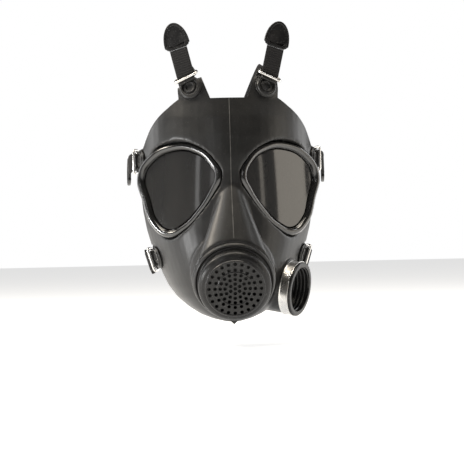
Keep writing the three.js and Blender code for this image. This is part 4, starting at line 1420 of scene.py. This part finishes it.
def make_strap(name, row, side, place):
    frames = strap_frames(row, side, place, fine_step)
    per_rib = rib_pitch / fine_step
    waves = [math.cos(2 * math.pi * i / per_rib) for i in range(len(frames))]
    depths = [strap_thickness - rib_depth * (1 + wave) for wave in waves]
    strap = new_piece(f"webbing_{name}", swept(frames, lambda i: web_section(depths[i])))
    smooth_faces(strap, math.radians(60))
    return finish_piece(strap, webbing, [f"strap_{name}"])


for name, row, side, place in fastenings:
    make_strap(name, row, side, place)

# %% [markdown]
# Tips
#
# Each free end is capped by a spade of black plastic with two barbs. It is an outline given
# thickness, with rounded edges and a shallow panel set into both faces.

# %% Tips
tip_width = 24 * mm
tip_length = 25 * mm
tip_thickness = 2.6 * mm
tip_steps = 12
# half width and level of the foot and barb, as shares of the tip's width and length
tip_foot = [(0.36, 0), (0.39, 0.05), (0.4, 0.1), (0.46, 0.105), (0.5, 0.12), (0.505, 0.17)]


def tip_outline():
    right = [Vector((x * tip_width, y * tip_length, 0)) for x, y in tip_foot]
    half_width, widest = tip_foot[-1]
    for step in range(1, tip_steps):
        angle = math.radians(90 * step / tip_steps)
        level = widest + (1 - widest) * math.sin(angle)
        right.append(Vector((half_width * tip_width * math.cos(angle), level * tip_length, 0)))
    left = [Vector((-point.x, point.y, 0)) for point in reversed(right)]
    return right + [Vector((0, tip_length, 0))] + left


def make_tip(name, row, side, place):
    *_, free, last = strap_route(row, side, place)
    across = place.to_3x3() @ x_axis
    up = across.cross(last).normalized()
    where = place_frame(last.cross(up), last, up, free[-1] + last * 2 * clearance)
    shape = prism(tip_outline(), -tip_thickness / 2, tip_thickness / 2, where)
    flats = [face for face in shape.faces if len(face.verts) > 8]
    bmesh.ops.inset_region(shape, faces=flats, thickness=2 * mm, use_even_offset=True)
    bmesh.ops.inset_region(shape, faces=flats, thickness=0.5 * mm, depth=-0.45 * mm,
                           use_even_offset=True)
    rims = [edge for edge in shape.edges if edge.calc_face_angle(0) > 1.2]
    round_edges(shape, rims, 0.6 * mm)
    tip = new_piece(f"spade_tip_{name}", shape)
    smooth_faces(tip)
    return finish_piece(tip, plastic, [f"tip_{name}"])


for name, row, side, place in fastenings:
    make_tip(name, row, side, place)

# %% [markdown]
# Head pad
#
# The six straps meet under an oval pad behind the head. A disc is laid on the head's rounded
# form, given its thickness, and a row of stitches is sewn inside its edge.

# %% Head pad
stitch_radius = 0.32 * mm
stitch_length = 2.6 * mm
stitch_inset = 2.5 * mm
stitch_count = 62


def pad_point(across, up, lift):
    """Point of the pad: across and up seen from behind, lifted off the head."""
    level = (up + pad_height) / (head_top + lift)
    shares = (across / (head_half_width + lift)) ** 2 + level ** 2
    return Vector((across, (head_back + lift) * math.sqrt(1 - shares), up + pad_height))


def pad_ring(share, lift, steps=96):
    turns = [2 * math.pi * i / steps for i in range(steps)]
    wide, tall = share * pad_half_width, share * pad_half_height
    return [pad_point(wide * math.cos(t), tall * math.sin(t), lift) for t in turns]


def make_pad():
    low, high = clearance, clearance + pad_thickness
    rings = [pad_ring(share / 10, low) for share in range(1, 11)]
    edge = 1 * mm / pad_half_width
    seam = stitch_inset / pad_half_width
    rounding = [
        (1 + 0.2 * edge, (low + high) / 2), (1, high - 0.8 * mm), (1 - edge, high - 0.1 * mm),
        (1 - 0.7 * seam, high), (1 - seam, high - 0.35 * mm), (1 - 1.3 * seam, high),
    ]
    rings += [pad_ring(share, lift) for share, lift in rounding]
    rings += [pad_ring(share / 10, high) for share in range(8, 0, -1)]
    pad = new_piece("head_pad_oval", bridged(rings))
    smooth_faces(pad, math.radians(50))
    return finish_piece(pad, webbing, ["head_pad"])


def make_pad_stitches():
    share = 1 - stitch_inset / pad_half_width
    ring = pad_ring(share, clearance + pad_thickness - 0.1 * mm, stitch_count)
    shapes = []
    for i, point in enumerate(ring):
        along = (ring[(i + 1) % len(ring)] - ring[i - 1]).normalized()
        out = head_normal(point)
        spot = place_frame(out.cross(along), out, along, point)
        shapes.append(round_bar(stitch_radius, -stitch_length / 2, stitch_length / 2, spot, 6))
    stitches = new_piece("pad_stitches", join_shapes(*shapes))
    smooth_faces(stitches, math.radians(80))
    return finish_piece(stitches, webbing, [])


make_pad()
make_pad_stitches()

# %% [markdown]
# Floor and light
#
# The background is plain white. A wide soft light from above draws the bright line along the
# top of each window's bead, and pale cards to the sides give the windows and the steel
# something to reflect. The floor glows a little, so that it stays pale away from the lights.

# %% Floor and light
floor_height = -150 * mm
floor_size = 8.0
floor_glow = 0.7
sky_seen = 1.0
sky_light = 0.05


def make_floor():
    shape = bmesh.new()
    bmesh.ops.create_grid(shape, x_segments=2, y_segments=2, size=floor_size / 2)
    floor = new_piece("floor", shape)
    floor.data.transform(Matrix.Translation((0, 0, floor_height)))
    finish = Finish("floor")
    tone = finish.noise(3, 2)
    colour = finish.blend(tone, (0.78, 0.78, 0.77), (0.82, 0.82, 0.81))
    floor.data.materials.append(finish.surface({
        "Base Color": colour,
        "Roughness": 0.7,
        "Emission Color": (1, 1, 1, 1),
        "Emission Strength": floor_glow,
    }))


def soft_light(name, spot, aim, size, power, colour=(1, 1, 1)):
    data = bpy.data.lights.new(name, "AREA")
    data.shape = "RECTANGLE"
    data.size, data.size_y = size
    data.energy = power
    data.color = colour
    light = bpy.data.objects.new(name, data)
    light.location = spot
    light.rotation_euler = (Vector(aim) - Vector(spot)).to_track_quat("-Z", "Y").to_euler()
    bpy.context.collection.objects.link(light)


def make_sky():
    """A sky that looks white behind the mask, yet lights it only a little."""
    world = bpy.data.worlds.new("pale_sky")
    world.use_nodes = True
    nodes, links = world.node_tree.nodes, world.node_tree.links
    seen = nodes.new("ShaderNodeLightPath")
    strength = nodes.new("ShaderNodeMath")
    strength.operation = "MULTIPLY_ADD"
    strength.inputs[1].default_value = sky_seen - sky_light
    strength.inputs[2].default_value = sky_light
    links.new(seen.outputs["Is Camera Ray"], strength.inputs[0])
    links.new(strength.outputs[0], nodes["Background"].inputs["Strength"])
    nodes["Background"].inputs["Color"].default_value = (1, 1, 1, 1)
    bpy.context.scene.world = world


white, cream = (1, 1, 1), (1, 0.92, 0.8)
lit_spot = (0, -0.05, -0.02)

# name, middle, width and height in metres, power in watts, colour
panels = [
    ("overhead", (0, -0.3, 1.25), (1.1, 0.4), 14, cream),
    ("upper_left", (-0.9, -0.12, 0.82), (0.36, 0.36), 9, cream),
    ("upper_right", (0.86, -0.3, 0.92), (0.22, 0.22), 1.2, white),
    ("left", (-1.17, -0.46, -0.06), (0.18, 0.1), 7, white),
    ("rear_left", (-1.2, 0.55, 0.1), (0.5, 1.5), 9, white),
    ("rear_right", (1.2, 0.55, 0.1), (0.5, 1.5), 9, white),
    ("streak", (-0.62, -0.44, 0.98), (0.1, 0.1), 1.6, white),
    ("front_left", (-0.53, -1.29, 0.46), (0.06, 0.3), 0.9, white),
    ("warm_card", (1.26, -0.2, 0.05), (0.2, 1.1), 1.5, cream),
    ("warm_strip", (1.19, -0.46, 0.05), (0.26, 1.1), 2.1, cream),
    ("warm_line", (1.07, -0.68, 0.05), (0.03, 1.1), 0.15, cream),
    ("cool_line", (-1.0, -0.76, 0.05), (0.03, 1.1), 0.16, white),
    ("cool_strip", (-0.93, -0.88, 0.05), (0.07, 1.1), 0.22, white),
]

make_floor()
make_sky()
for name, spot, size, power, colour in panels:
    soft_light(name, spot, lit_spot, size, power, colour)
bpy.context.scene.view_settings.view_transform = "Standard"
